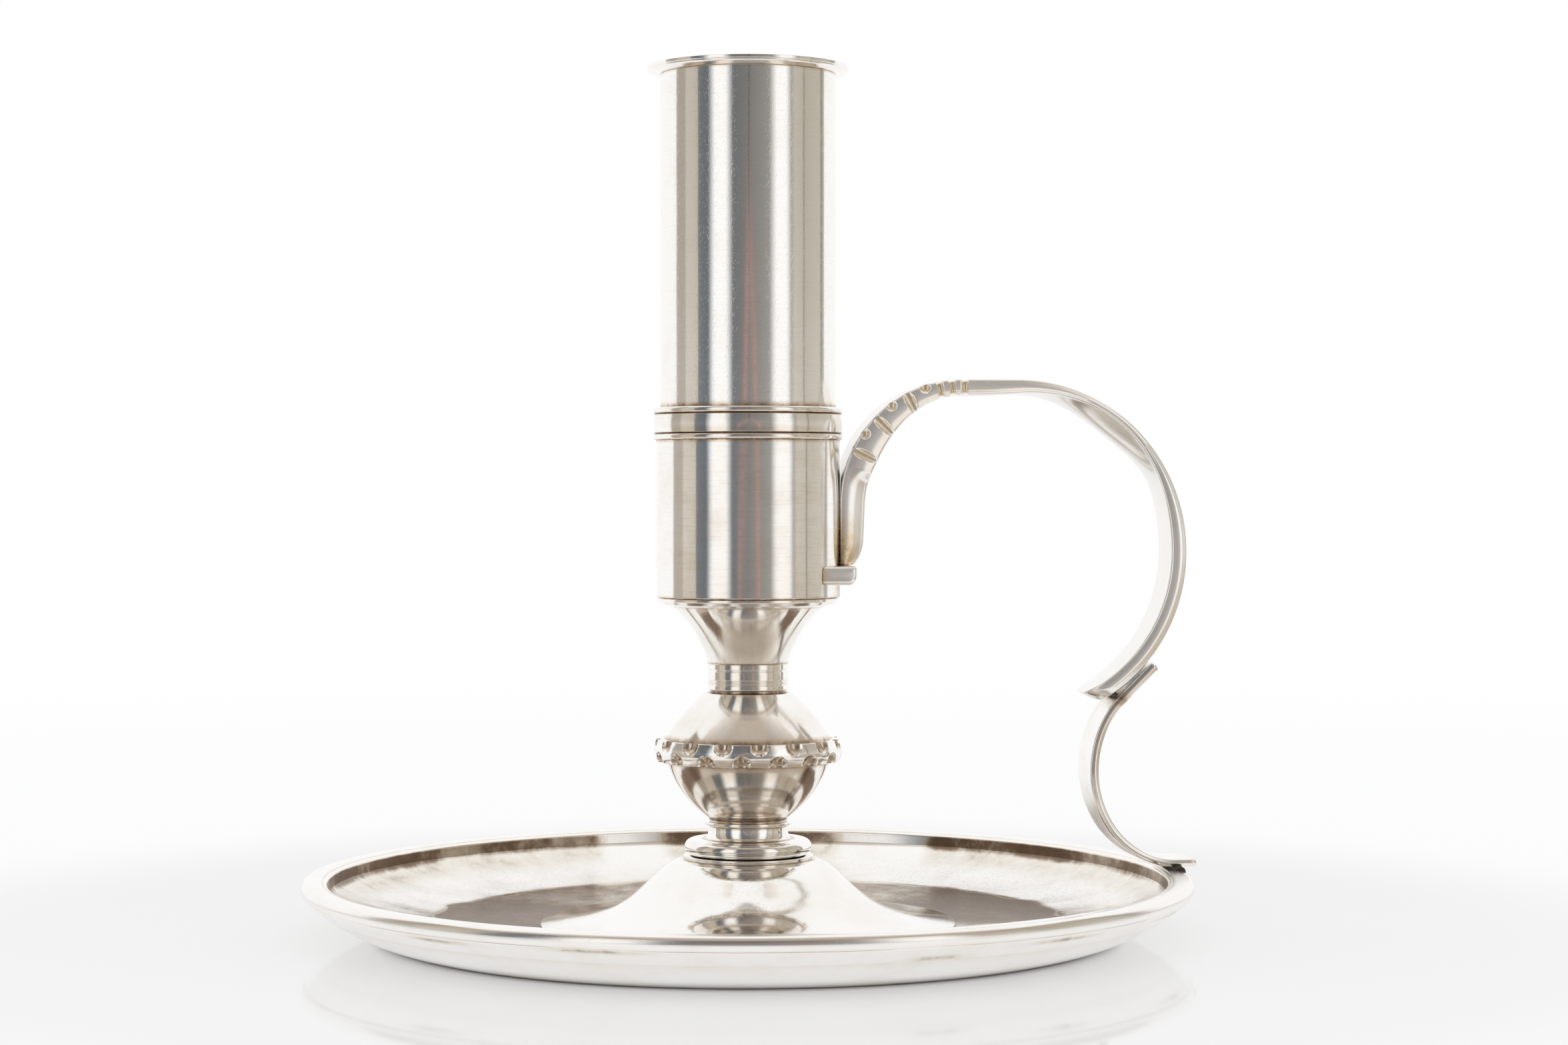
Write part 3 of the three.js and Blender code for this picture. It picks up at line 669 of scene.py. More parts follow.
class Hairlines(Effect):
    """Sparse fine scratches in several directions."""

    title, output = "Hairlines", "Mask"
    numbers = {"Length": 9.0, "Width": 0.16}
    turns = ((0.3, 0.5, 0.2), (1.1, -0.7, 0.9), (-0.4, 1.2, -0.6), (0.8, 0.15, 1.5))

    def draw(self) -> None:
        """Keep the peaks of stretched noise, turned several ways."""
        fine, place, mask = 1.0 / self.inputs["Width"], self.place(), 0.0
        scale = self.join(1.0 / self.inputs["Length"], fine, fine)
        for turn in self.turns:
            turned = self.add("ShaderNodeMapping", {"Vector": place, "Rotation": turn})
            grain = self.noise(self.vector("MULTIPLY", turned, scale), 1.0, 0.0)
            mask = self.math("MAXIMUM", mask, grain.ramp(0.72, 0.80))
        self.close(mask)


class Tarnish(Effect):
    """Film in patches, thickest where dirt gathers and where painted shade is laid into the same attribute, with a
    faint bloom all over.
    """

    title, output = "Tarnish", "Mask"
    numbers = {"Amount": 0.8, "Patch": 1.2, "Bloom": 0.1}

    def draw(self) -> None:
        """Break the dirt up and add the bloom."""
        take, place = self.inputs, self.place()
        scale = 1.0 / take["Patch"]
        patchy = self.named(GRIME_AND_SHADE) * (self.noise(place, scale, 4.0, 0.65) + 0.5)
        bloom = self.noise(place, scale * 0.22, 5.0, 0.62).ramp(0.42, 0.72) * take["Bloom"]
        self.close(self.math("ADD", patchy.ramp(0.08, 1.0) * take["Amount"], bloom, clamp=True))


class Pits(Effect):
    """Small pits and dents scattered over the metal."""

    title, output = "Pits", "Mask"
    numbers = {"Size": 0.5}

    def draw(self) -> None:
        """Keep the peaks of noise."""
        self.close(self.noise(self.place(), 1.0 / self.inputs["Size"], 1.0).ramp(0.70, 0.78))


# Finishes


class Brushing(Enum):
    """Way the polishing lines run, with the effect that draws them."""

    TURNED = TurnedLines
    DRAWN = DrawnLines


@dataclass(frozen=True)
class MetalFinish:
    """Finish of one kind of metal surface. Shares run from 0 to 1.

    Attributes:
        name: Material name.
        colour, roughness: Colour and roughness of the clean metal.
        brushing: Way the polishing lines run.
        line_pitch, line_depth: Distance between the polishing lines, and their depth.
        furrow_pitch, furrow_depth: The same for the broader tool marks.
        wave_size, wave_depth: Length and depth of the waves in the sheet.
        ripple_size, ripple_depth: The same for the small planishing marks.
        scratch_depth, pit_depth: Depth of the hairlines and of the pits.
        brushed: How far highlights stretch across the polishing lines.
        tarnish, bloom, streak: How thick tarnish lies in seams, in patches everywhere and in polishing lines.
        thin_film, thick_film: Colours of thin and thick tarnish.
        patch: Size of the tarnish patches.
        bright: Share of the surface that is bright metal and not frosted.
    """

    name: str
    colour: Colour = (0.955, 0.94, 0.915)
    roughness: float = 0.11
    brushing: Brushing = Brushing.TURNED
    line_pitch: float = 0.16
    line_depth: float = 0.0009
    furrow_pitch: float = 1.0
    furrow_depth: float = 0.001
    wave_size: float = 14.0
    wave_depth: float = 0.05
    ripple_size: float = 3.0
    ripple_depth: float = 0.003
    scratch_depth: float = 0.0012
    pit_depth: float = 0.0
    brushed: float = 0.0
    tarnish: float = 0.8
    bloom: float = 0.06
    streak: float = 0.0
    thin_film: Colour = (0.8, 0.7, 0.59)
    thick_film: Colour = (0.13, 0.08, 0.05)
    patch: float = 1.2
    bright: float = 1.0

    def material(self, effects: dict[type[Effect], Effect]) -> bpy.types.Material:
        """Build the finish.

        Args:
            effects: Shader groups to use, by their class.

        Returns:
            The material.
        """
        sketch = MaterialSketch(self.name)
        sketch.material.diffuse_color = (*self.colour, 1.0)

        def effect(kind: type[Effect], **values: float) -> Wire:
            """Place a shader group."""
            return sketch.add("ShaderNodeGroup", values, node_tree=effects[kind].tree)

        lines = effect(self.brushing.value, Pitch=self.line_pitch)
        furrows = effect(self.brushing.value, Pitch=self.furrow_pitch)
        waves = effect(SheetWaves, Size=self.wave_size)
        ripples = effect(SheetWaves, Size=self.ripple_size)
        scratches, pits = effect(Hairlines), effect(Pits)
        film = effect(Tarnish, Amount=self.tarnish, Patch=self.patch, Bloom=self.bloom)
        film = lines.ramp(0.48, 0.7).math("MULTIPLY_ADD", self.streak, film)

        height = waves * self.wave_depth
        for mark, depth in (
            (ripples, self.ripple_depth), (furrows, self.furrow_depth), (lines, self.line_depth),
            (scratches, -self.scratch_depth), (pits, -self.pit_depth),
        ):
            height = mark.math("MULTIPLY_ADD", depth, height)
        bump = sketch.add("ShaderNodeBump", {"Strength": 1.0, "Distance": MM, "Height": height})

        half_film = tuple(np.exp(mix(np.log(self.thin_film), np.log(self.thick_film), 0.62)))
        films = ((0.0, self.colour), (0.3, self.thin_film), (0.65, half_film), (1.0, self.thick_film))
        ramp = sketch.node("ShaderNodeValToRGB", {"Fac": film})
        stops = ramp.color_ramp.elements
        while len(stops) < len(films):
            stops.new(1.0)
        for stop, (place, colour) in zip(stops, films):
            stop.position, stop.color = place, (*colour, 1.0)
        rough = film.math("MULTIPLY_ADD", 0.25, self.roughness)
        rough = scratches.math("MULTIPLY_ADD", 0.06, rough)
        rough = (lines - 0.5).math("MULTIPLY_ADD", 0.04, rough)
        return sketch.close(sketch.add("ShaderNodeBsdfPrincipled", {
            "Base Color": Wire(sketch, ramp.outputs["Color"]), "Metallic": self.bright, "Roughness": rough,
            "Normal": bump, "Anisotropic": self.brushed, "Anisotropic Rotation": 0.25,
        }))


# Making pieces


class Path:
    """Plane path in (x, height), measured along its length."""

    def __init__(self, *runs: Sequence[Point]) -> None:
        """Join runs of points.

        Args:
            runs: Dense points of each line or arc, in order.
        """
        rows = np.array([point for run in runs for point in run])
        keep = np.append(True, np.linalg.norm(np.diff(rows, axis=0), axis=1) > 1e-9)
        self._points = rows[keep]
        chords = np.diff(self._points, axis=0)
        sizes = np.linalg.norm(chords, axis=1)
        self._marks = np.append(0.0, np.cumsum(sizes))
        ways = chords / sizes[:, None]
        ways = np.vstack([ways[:1], ways[:-1] + ways[1:], ways[-1:]])
        self._ways = ways / np.linalg.norm(ways, axis=1)[:, None]
        self.length = float(self._marks[-1])

    def at(self, length: float) -> tuple[Rows, Rows]:
        """Find a place on the path.

        Args:
            length: Distance from the start.

        Returns:
            The point and the direction there.
        """
        point, way = (
            np.array([np.interp(length, self._marks, rows[:, k]) for k in (0, 1)])
            for rows in (self._points, self._ways)
        )
        return point, way / np.linalg.norm(way)


@dataclass(frozen=True)
class WornEnds:
    """Rounded ends of a bar.

    Attributes:
        length: Length of the bar.
        worn, steps: Radius of the rounding, and number of places along it.
    """

    length: float
    worn: float
    steps: int

    def stations(self, *between: Rows) -> Rows:
        """Places along the bar, close together at its ends, with no place twice."""
        ends = self.worn * (1.0 - np.cos(np.radians(np.linspace(0.0, 90.0, self.steps))))
        return np.unique(np.round(np.concatenate([ends, *between, self.length - ends]), SAME_PLACE))

    def inset(self, place: float) -> float:
        """How far the faces are set in at a place along the bar."""
        short = max(0.0, self.worn - min(place, self.length - place))
        return self.worn - math.sqrt(max(0.0, self.worn**2 - short**2))


@dataclass(frozen=True)
class StrapSection:
    """Cross section of a strap, as depth from its outer face and distance across.

    Attributes:
        thickness, width: Depth at the sides, and whole width.
        corner: Radius of the edges.
        inset: How far every face is set in.
        crown, belly: How far the sides and the inner face stand out in the middle.
        taper: How much the sides come in from the outer face to the inner one.
        lean: How far the section leans along the strap for its depth.
    """

    thickness: float
    width: float
    corner: float
    inset: float
    crown: float
    belly: float = 0.0
    taper: float = 0.0
    lean: float = 0.0

    def ring(self) -> Rows:
        """Trace the section.

        Returns:
            One row of (depth, across) for each point.
        """
        near, far, half = self.inset, self.thickness - self.inset, self.width / 2 - self.inset - self.crown
        corner = min(self.corner, 0.42 * (far - near))
        flat = half - corner
        face = np.concatenate([[-1.0, -0.97], np.linspace(-0.9, 0.9, 13), [0.97, 1.0]]) * flat
        shares = np.linspace(0.0, 1.0, 16)
        rise = mix(near + corner, far - corner, shares)
        bulge = self.belly * (1.0 - (face / flat) ** 2)
        turn = np.radians(np.linspace(0.0, 90.0, 6)[1:-1])
        low = np.column_stack([near + corner - corner * np.cos(turn), flat + corner * np.sin(turn)])
        high = np.column_stack([far - corner + corner * np.sin(turn), flat - self.taper + corner * np.cos(turn)])
        side = np.column_stack([rise, half - self.taper * shares + 4.0 * self.crown * shares * (1.0 - shares)])
        outer = np.column_stack([np.full(face.size, near), face])
        inner = np.column_stack([far + bulge[::-1], face[::-1] * (1.0 - self.taper / flat)])
        flip = np.array([1.0, -1.0])
        return np.vstack([outer, low, side, high, inner, high[::-1] * flip, side[::-1] * flip, low[::-1] * flip])


def read(items: Any, key: str, width: int = 1, kind: type = float) -> Rows:
    """Read one property of every item of a mesh.

    Args:
        items: Points, triangles or attribute values.
        key: Name of the property.
        width: Numbers in each item.
        kind: Type of the numbers.

    Returns:
        One row for each item.
    """
    values = np.empty(len(items) * width, kind)
    items.foreach_get(key, values)
    return values.reshape(-1, width)


def stand(name: str, data: Any) -> Piece:
    """Make an object from a mesh or a camera and put it in the scene."""
    bpy.context.scene.collection.objects.link(thing := bpy.data.objects.new(name, data))
    return thing


class Bench:
    """Makes pieces, dresses them and hands them to the frame."""

    def __init__(self) -> None:
        """Set up the node trees and shader groups."""
        self._trees = {kind: kind() for kind in GeometryTree.__subclasses__()}
        self._effects = {kind: kind() for kind in Effect.__subclasses__()}
        self._finishes: dict[str, bpy.types.Material] = {}

    def finish(self, finish: MetalFinish) -> bpy.types.Material:
        """Material of a finish, built at its first use."""
        if finish.name not in self._finishes:
            self._finishes[finish.name] = finish.material(self._effects)
        return self._finishes[finish.name]

    @staticmethod
    def blank(name: str, points: Rows, edges: Sequence = (), faces: Sequence = (), **attributes: Rows) -> Piece:
        """Make an object from points in millimetres.

        Args:
            name: Name of the piece.
            points: One row of (x, y, z) for each point.
            edges: Pairs of point numbers, for an outline.
            faces: Rings of point numbers, for a skin.
            attributes: One value for each point, by attribute name.

        Returns:
            The new object.
        """
        mesh = bpy.data.meshes.new(name)
        mesh.from_pydata((points * MM).tolist(), list(edges), list(faces))
        for key, values in attributes.items():
            mesh.attributes.new(key, "FLOAT", "POINT").data.foreach_set("value", np.asarray(values, np.float32))
        return stand(name, mesh)

    def work(self, tree: type[GeometryTree], piece: Piece, finish: MetalFinish, **values: Any) -> None:
        """Run a node tree on a piece and settle the skin that it makes."""
        self._trees[tree].apply(piece, Finish=self.finish(finish), **values)
        self.settle(piece)

    def turned(
        self, name: str, outline: Outline, finish: MetalFinish, seams: Sequence[Seam], step: float,
        segments: int = TURN_SEGMENTS, wobble: float = 0.0,
    ) -> Piece:
        """Turn a section round the axis.

        Args:
            name: Name of the piece.
            outline: Its section.
            finish: Its finish.
            seams: Places where dirt gathers.
            step: Longest chord of the section.
            segments: Facets round the axis.
            wobble: Unevenness of handwork.

        Returns:
            The piece.
        """
        rows = outline.points(step, seams)
        count, grime = len(rows), np.zeros(len(rows))
        for seam in seams:
            away = np.hypot(rows[:, 0] - seam.radius, rows[:, 1] - seam.height)
            grime = np.maximum(grime, seam.amount * fade(away, seam.reach))
        last = count - 1 if rows[0, 0] == 0.0 else count
        points = np.column_stack([rows[:, 0], np.zeros(count), rows[:, 1]])
        piece = self.blank(name, points, edges=[(i, (i + 1) % count) for i in range(last)], grime=grime)
        self.work(TurnedTree, piece, finish, Segments=segments, Wobble=wobble * MM)
        return piece

    def skinned(
        self, name: str, rings: Sequence[Rows], finish: MetalFinish | None = None, round_trip: bool = False,
        **attributes: Rows,
    ) -> Piece:
        """Skin a row of rings.

        Args:
            name: Name of the piece.
            rings: Points in millimetres of each ring, all of the same size.
            finish: Its finish, if no node tree sets it.
            round_trip: Whether the last ring meets the first. If not, both ends are closed.
            attributes: One value for each point of all rings, by attribute name.

        Returns:
            The piece.
        """
        size, count = len(rings[0]), len(rings)
        points, faces = np.vstack(rings), []
        for i in range(count if round_trip else count - 1):
            here, there = i * size, (i + 1) % count * size
            for j in range(size):
                k = (j + 1) % size
                faces.append((here + j, here + k, there + k, there + j))
        if not round_trip:
            points = np.vstack([points, rings[0].mean(axis=0), rings[-1].mean(axis=0)])
            attributes = {key: np.append(values, (values[0], values[-1])) for key, values in attributes.items()}
            start, end, last = count * size, count * size + 1, (count - 1) * size
            for j in range(size):
                faces.append((start, (j + 1) % size, j))
                faces.append((end, last + j, last + (j + 1) % size))
        piece = self.blank(name, points, faces=faces, **attributes)
        if finish:
            piece.data.materials.append(self.finish(finish))
        self.settle(piece)
        return piece

    @staticmethod
    def settle(piece: Piece) -> None:
        """Point the faces outwards, shade them smooth and mark the sharp edges.

        Args:
            piece: The piece.
        """
        mesh = piece.data
        mesh.calc_loop_triangles()
        corners = read(mesh.loop_triangles, "vertices", 3, np.int32)
        a, b, c = read(mesh.vertices, "co", 3)[corners].transpose(1, 0, 2)
        if np.einsum("ij,ij->", a, np.cross(b, c)) < 0.0:
            mesh.flip_normals()
        mesh.polygons.foreach_set("use_smooth", np.ones(len(mesh.polygons), bool))
        mesh.set_sharp_from_angle(angle=SHARP_ANGLE)

    @staticmethod
    def stain(piece: Piece, amount: Callable[[Rows], Rows]) -> None:
        """Add dirt to a finished piece; on the pan this also lays painted reflection.

        Args:
            piece: The piece.
            amount: Gives the dirt for rows of (x, y, z) in millimetres.
        """
        data = piece.data.attributes[GRIME_AND_SHADE].data
        grime = read(data, "value", kind=np.float32)[:, 0]
        added = amount(read(piece.data.vertices, "co", 3) / MM)
        data.foreach_set("value", np.maximum(grime, added).astype(np.float32))

    @staticmethod
    def hand_over(piece: Piece, slot: str, body: str = "base", stands_for: bool = True) -> None:
        """Fix a finished piece to the frame.

        Args:
            piece: The piece.
            slot: Node of the frame whose slot it takes.
            body: Body that it moves with.
            stands_for: Whether it is shown instead of that node.
        """
        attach(piece, body)
        if stands_for:
            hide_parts(slot)
        log.info("%s: %d faces, moves with %s", piece.name, len(piece.data.polygons), body)


@dataclass
class Assembly:
    """Pieces that are made together.

    Attributes:
        bench: Where they are made.
    """

    bench: Bench

    def hand_turned(self, slot: str, *work: Any, body: str = "base", **extras: Any) -> None:
        """Turn a piece and hand it over."""
        self.bench.hand_over(self.bench.turned(*work, **extras), slot, body)


# Finishes of this candlestick

PAN_SILVER = MetalFinish(
    "pan silver", roughness=0.09, line_pitch=0.22, line_depth=0.0012, furrow_pitch=1.2, furrow_depth=0.004,
    wave_size=11.0, wave_depth=0.06, ripple_size=3.4, ripple_depth=0.011, pit_depth=0.004, bloom=0.11, patch=2.6,
    thin_film=(0.83, 0.775, 0.69),
)
RIM_SILVER = MetalFinish("rim silver", roughness=0.19, wave_size=6.0, wave_depth=0.03, patch=2.6)
STEM_SILVER = MetalFinish("stem silver", roughness=0.1, wave_size=7.0, wave_depth=0.02, brushed=0.5)
FLARE_SILVER = MetalFinish("flare silver", roughness=0.11, wave_size=7.0, wave_depth=0.02, brushed=0.95)
CUP_SILVER = MetalFinish(
    "cup silver", roughness=0.14, line_pitch=0.28, line_depth=0.0012, furrow_pitch=0.9, furrow_depth=0.003,
    wave_size=9.0, wave_depth=0.02, scratch_depth=0.0005, brushed=0.9, bloom=0.1, streak=0.05,
)
TUBE_SILVER = MetalFinish(
    "tube silver", roughness=0.12, line_pitch=0.3, line_depth=0.0012, wave_size=12.0, wave_depth=0.03,
    scratch_depth=0.002, brushed=0.7, bloom=0.04, streak=0.03,
)
STRAP_SILVER = MetalFinish(
    "strap silver", roughness=0.19, brushing=Brushing.DRAWN, bright=0.8, bloom=0.02, line_depth=0.0, furrow_depth=0.0,
    wave_size=6.0, wave_depth=0.06, ripple_depth=0.0004, scratch_depth=0.0002, thin_film=(0.82, 0.68, 0.47), patch=0.9,
)
SCROLL_SILVER = MetalFinish(
    "scroll silver", roughness=0.18, brushing=Brushing.DRAWN, line_depth=0.0, furrow_depth=0.0, wave_size=6.0,
    wave_depth=0.05, ripple_depth=0.0004, scratch_depth=0.0002, bloom=0.1, patch=0.9,
)
SOLDER_GREY = MetalFinish(
    "old solder", colour=(0.42, 0.4, 0.38), roughness=0.38, wave_size=0.9, wave_depth=0.08, pit_depth=0.02,
    thin_film=(0.25, 0.22, 0.19), thick_film=(0.06, 0.05, 0.045), patch=0.7,
)
BOLT_STEEL = MetalFinish(
    "bolt steel", colour=(0.5, 0.49, 0.48), roughness=0.34, wave_size=3.0, wave_depth=0.01, pit_depth=0.006,
    thin_film=(0.36, 0.27, 0.2), thick_film=(0.1, 0.06, 0.04),
)


# Sub-assemblies


@dataclass
class Pan(Assembly):
    """Round pan: a raised dish, a wire on its rim and a dome that carries the stem.

    Attributes:
        base_radius: Radius of the flat foot.
        edge_radius, wall_height: Outer radius and height of the wall's edge.
        wall_bulge: How far the wall bows out.
        sheet, dome_sheet: Thickness of the dish and of the dome.
        opening: Radius of the opening under the dome.
        hollow_start: Radius where the floor starts to rise.
        hollow: Slope of the inside in degrees at some lengths along it.
        rim_radius, rim_width, rim_height: Outer radius, width and height of the wire.
        dome_foot, crown, dome_top: Radii of the dome's foot and crown, and the crown's height.
        dome_line: Places on the dome's ogee, from its foot.
        bore: Radius of the bolt hole.
        rubbed: Places inside the rim that are rubbed clean, as angle and half width in degrees.
        drips: Stains outside under the rim, as angle and spread in degrees, and height.
        wobble: Unevenness of handwork.
    """

    base_radius: float = 50.0
    edge_radius: float = 61.6
    wall_height: float = 6.3
    wall_bulge: float = 0.9
    sheet: float = 1.2
    opening: float = 20.0
    hollow_start: float = 28.0
    hollow: tuple[Point, ...] = (
        (0.0, 0.3), (4.0, 1.0), (8.0, 1.8), (12.0, 2.6), (16.4, 4.0), (17.4, 8.8), (19.0, 10.2), (21.0, 11.6),
        (23.1, 13.8), (25.2, 17.0), (27.3, 21.5), (29.1, 28.0), (30.3, 40.0), (31.2, 58.0), (31.9, 74.0), (33.4, 82.0),
    )
    rim_radius: float = 61.94
    rim_width: float = 3.64
    rim_height: float = 2.0
    dome_foot: float = 29.0
    dome_top: float = 10.4
    crown: float = 9.3
    dome_line: tuple[Point, ...] = (
        (29.0, 1.5), (25.8, 1.85), (22.6, 2.4), (19.6, 3.3), (17.2, 4.55), (15.2, 6.1), (13.6, 7.6), (12.1, 9.0),
        (10.6, 10.02), (9.3, 10.4),
    )
    dome_sheet: float = 0.9
    bore: float = 2.8
    rubbed: tuple[Point, ...] = ((-168.7, 5.0), (151.2, 7.0))
    drips: tuple[tuple[float, float, float], ...] = (
        (-47, 7, 5.6), (-25, 9, 5.9), (16, 5, 4.6), (34, 8, 5.5), (60, 9, 5.6),
    )
    wobble: float = 0.05

    def build(self) -> None:
        """Make the three pieces."""
        self._dish()
        self._rim()
        self._dome()

    def _hollow(self) -> list[Point]:
        """Draw the inside of the dish, which steepens all the way.

        Returns:
            The points from the dome's foot up to the wire.
        """
        runs, slopes = np.array(self.hollow).T
        marks = np.linspace(runs[0], runs[-1], 120)
        middles = np.radians(np.interp((marks[1:] + marks[:-1]) / 2, runs, slopes))
        step = marks[1] - marks[0]
        radii = self.hollow_start + np.append(0.0, np.cumsum(np.cos(middles) * step))
        heights = self.sheet + np.append(0.0, np.cumsum(np.sin(middles) * step))
        last = int(np.searchsorted(heights, self.wall_height))
        edge = float(np.interp(self.wall_height, heights, radii))
        return [*zip(radii[:last].tolist(), heights[:last].tolist()), (edge, self.wall_height)]

    def _dish(self) -> None:
        """Raise the dish: a hollow floor that turns up to the wire, and a bowed wall outside."""
        foot, edge = np.array((self.base_radius, 0.0)), np.array((self.edge_radius, self.wall_height))
        outwards = np.array((edge[1] - foot[1], foot[0] - edge[0])) / np.linalg.norm(edge - foot)
        outside = curve(foot, (foot + edge) / 2 + outwards * 2 * self.wall_bulge, edge, steps=12)
        outline = Outline().to(self.opening, 0.0, 0.2).to(*outside[0], 0.7).along(outside[1:-1])
        outline.to(*outside[-1], 0.15).along(self._hollow()[::-1]).to(self.opening, self.sheet, 0.2)
        seams = (
            Seam(self.edge_radius, self.wall_height, 0.5, 0.3), Seam(self.dome_foot + 0.1, self.sheet, 0.3, 0.6),
            Seam(self.base_radius, 0.0, 0.7, 0.5),
        )
        piece = self.bench.turned("raised_dish", outline, PAN_SILVER, seams, 0.8, PAN_SEGMENTS, self.wobble)
        self.bench.stain(piece, self._film)
        self.bench.hand_over(piece, "dish")

    def _film(self, places: Rows) -> Rows:
        """Brown film on the floor, inside under the wire, and in streaks on the outside: tarnish, with painted
        reflection under the wire and on the floor.

        Args:
            places: Rows of (x, y, z).

        Returns:
            The amount at each place.
        """
        radius, height = np.hypot(places[:, 0], places[:, 1]), places[:, 2]
        turn = np.degrees(np.arctan2(places[:, 0], -places[:, 1]))
        around = np.radians(turn)
        inside = radius < self.rim_radius - self.rim_width + 0.8
        uneven = 0.5 + 0.5 * np.sin(5 * around + math.radians(40)) * np.sin(11 * around)
        # Under the wire: tarnish, made dark enough to also stand in as painted reflection of the dark studio front.
        band = smooth(4.6, 6.4, height) * mix(0.5, 0.95, uneven)
        wire_band_tarnish_and_reflection = inside * np.maximum(0.42 * smooth(2.2, 5.0, height), band) * (1.0 - smooth(7.5, 8.0, height))
        for middle, half in self.rubbed:
            aside = np.abs((turn - middle + 180.0) % 360.0 - 180.0)
            wire_band_tarnish_and_reflection = wire_band_tarnish_and_reflection * mix(0.25, 1.0, smooth(half - 1.5, half + 1.5, aside))
        # On the floor: tarnish and painted reflection of the dark band, thin on the camera's side (turn 0) and thickest
        # at the sides.
        ragged = 1.1 * np.sin(13 * around) + 0.7 * np.sin(29 * around + math.radians(50))
        floor_tarnish_and_reflection = (height > 0.5 * self.sheet) * (1.0 - smooth(44.0, 46.0, radius + 0.6 * ragged))
        thickness = mix(0.2, mix(0.95, 0.6, smooth(115.0, 140.0, np.abs(turn))), smooth(65.0, 95.0, np.abs(turn)))
        amount = np.maximum(wire_band_tarnish_and_reflection, thickness * floor_tarnish_and_reflection)
        for middle, spread, level in self.drips:
            beside = fade(turn - middle, spread) * fade(height - level, 0.45)
            amount = np.maximum(amount, 0.58 * beside * ~inside)
        return amount

    def _rim(self) -> None:
        """Bend the wire: an upright outer edge, a broad round top and an upright inner face."""
        low, out, inner = self.wall_height, self.rim_radius, self.rim_radius - self.rim_width
        top = low + self.rim_height
        outline = Outline().to(self._hollow()[-1][0], low, 0.02).to(self.edge_radius + 0.05, low, 0.04)
        outline.along(ellipse((out - 1.15, low + 0.8), (1.15, top - low - 0.8), -18.0, 90.0))
        outline.along(curve((out - 1.6, top - 0.01), (out - 2.4, top - 0.03), (out - 2.75, top - 0.16), steps=8))
        outline.to(out - 2.9, top - 0.26, 0.06).to(out - 3.0, top - 0.24, 0.05)
        outline.along(curve((out - 3.15, top - 0.27), (inner, top - 0.4), (inner, top - 0.85), steps=8))
        seams = (Seam(self.edge_radius, low, 0.25, 0.3), Seam(out - 2.9, top - 0.28, 0.2, 0.45))
        piece = self.bench.turned("rim_wire", outline, RIM_SILVER, seams, 0.3, PAN_SEGMENTS, self.wobble)
        self.bench.stain(piece, self._film)
        self.bench.hand_over(piece, "dish_rim")

    def _dome(self) -> None:
        """Raise the dome."""
        top, foot, under = self.dome_top, self.dome_foot, self.dome_top - self.dome_sheet
        toe, neck = foot - 3.4, self.crown - 0.45
        outside = through(self.dome_line)
        inside = curve((toe, self.sheet), (toe - 7.5, 1.6), (neck + 6.7, under - 3.8), (neck, under), steps=28)
        outline = Outline().to(foot, self.sheet, 0.05).to(*outside[0], 0.08).along(outside[1:])
        outline.to(self.bore, top, 0.1).to(self.bore, under, 0.1).along(inside[::-1])
        seams = (Seam(foot, self.sheet, 0.4, 0.6), Seam(self.crown, top, 0.4, 0.5))
        self.hand_turned("pan_dome", "dome_shell", outline, PAN_SILVER, seams, 0.6, PAN_SEGMENTS)


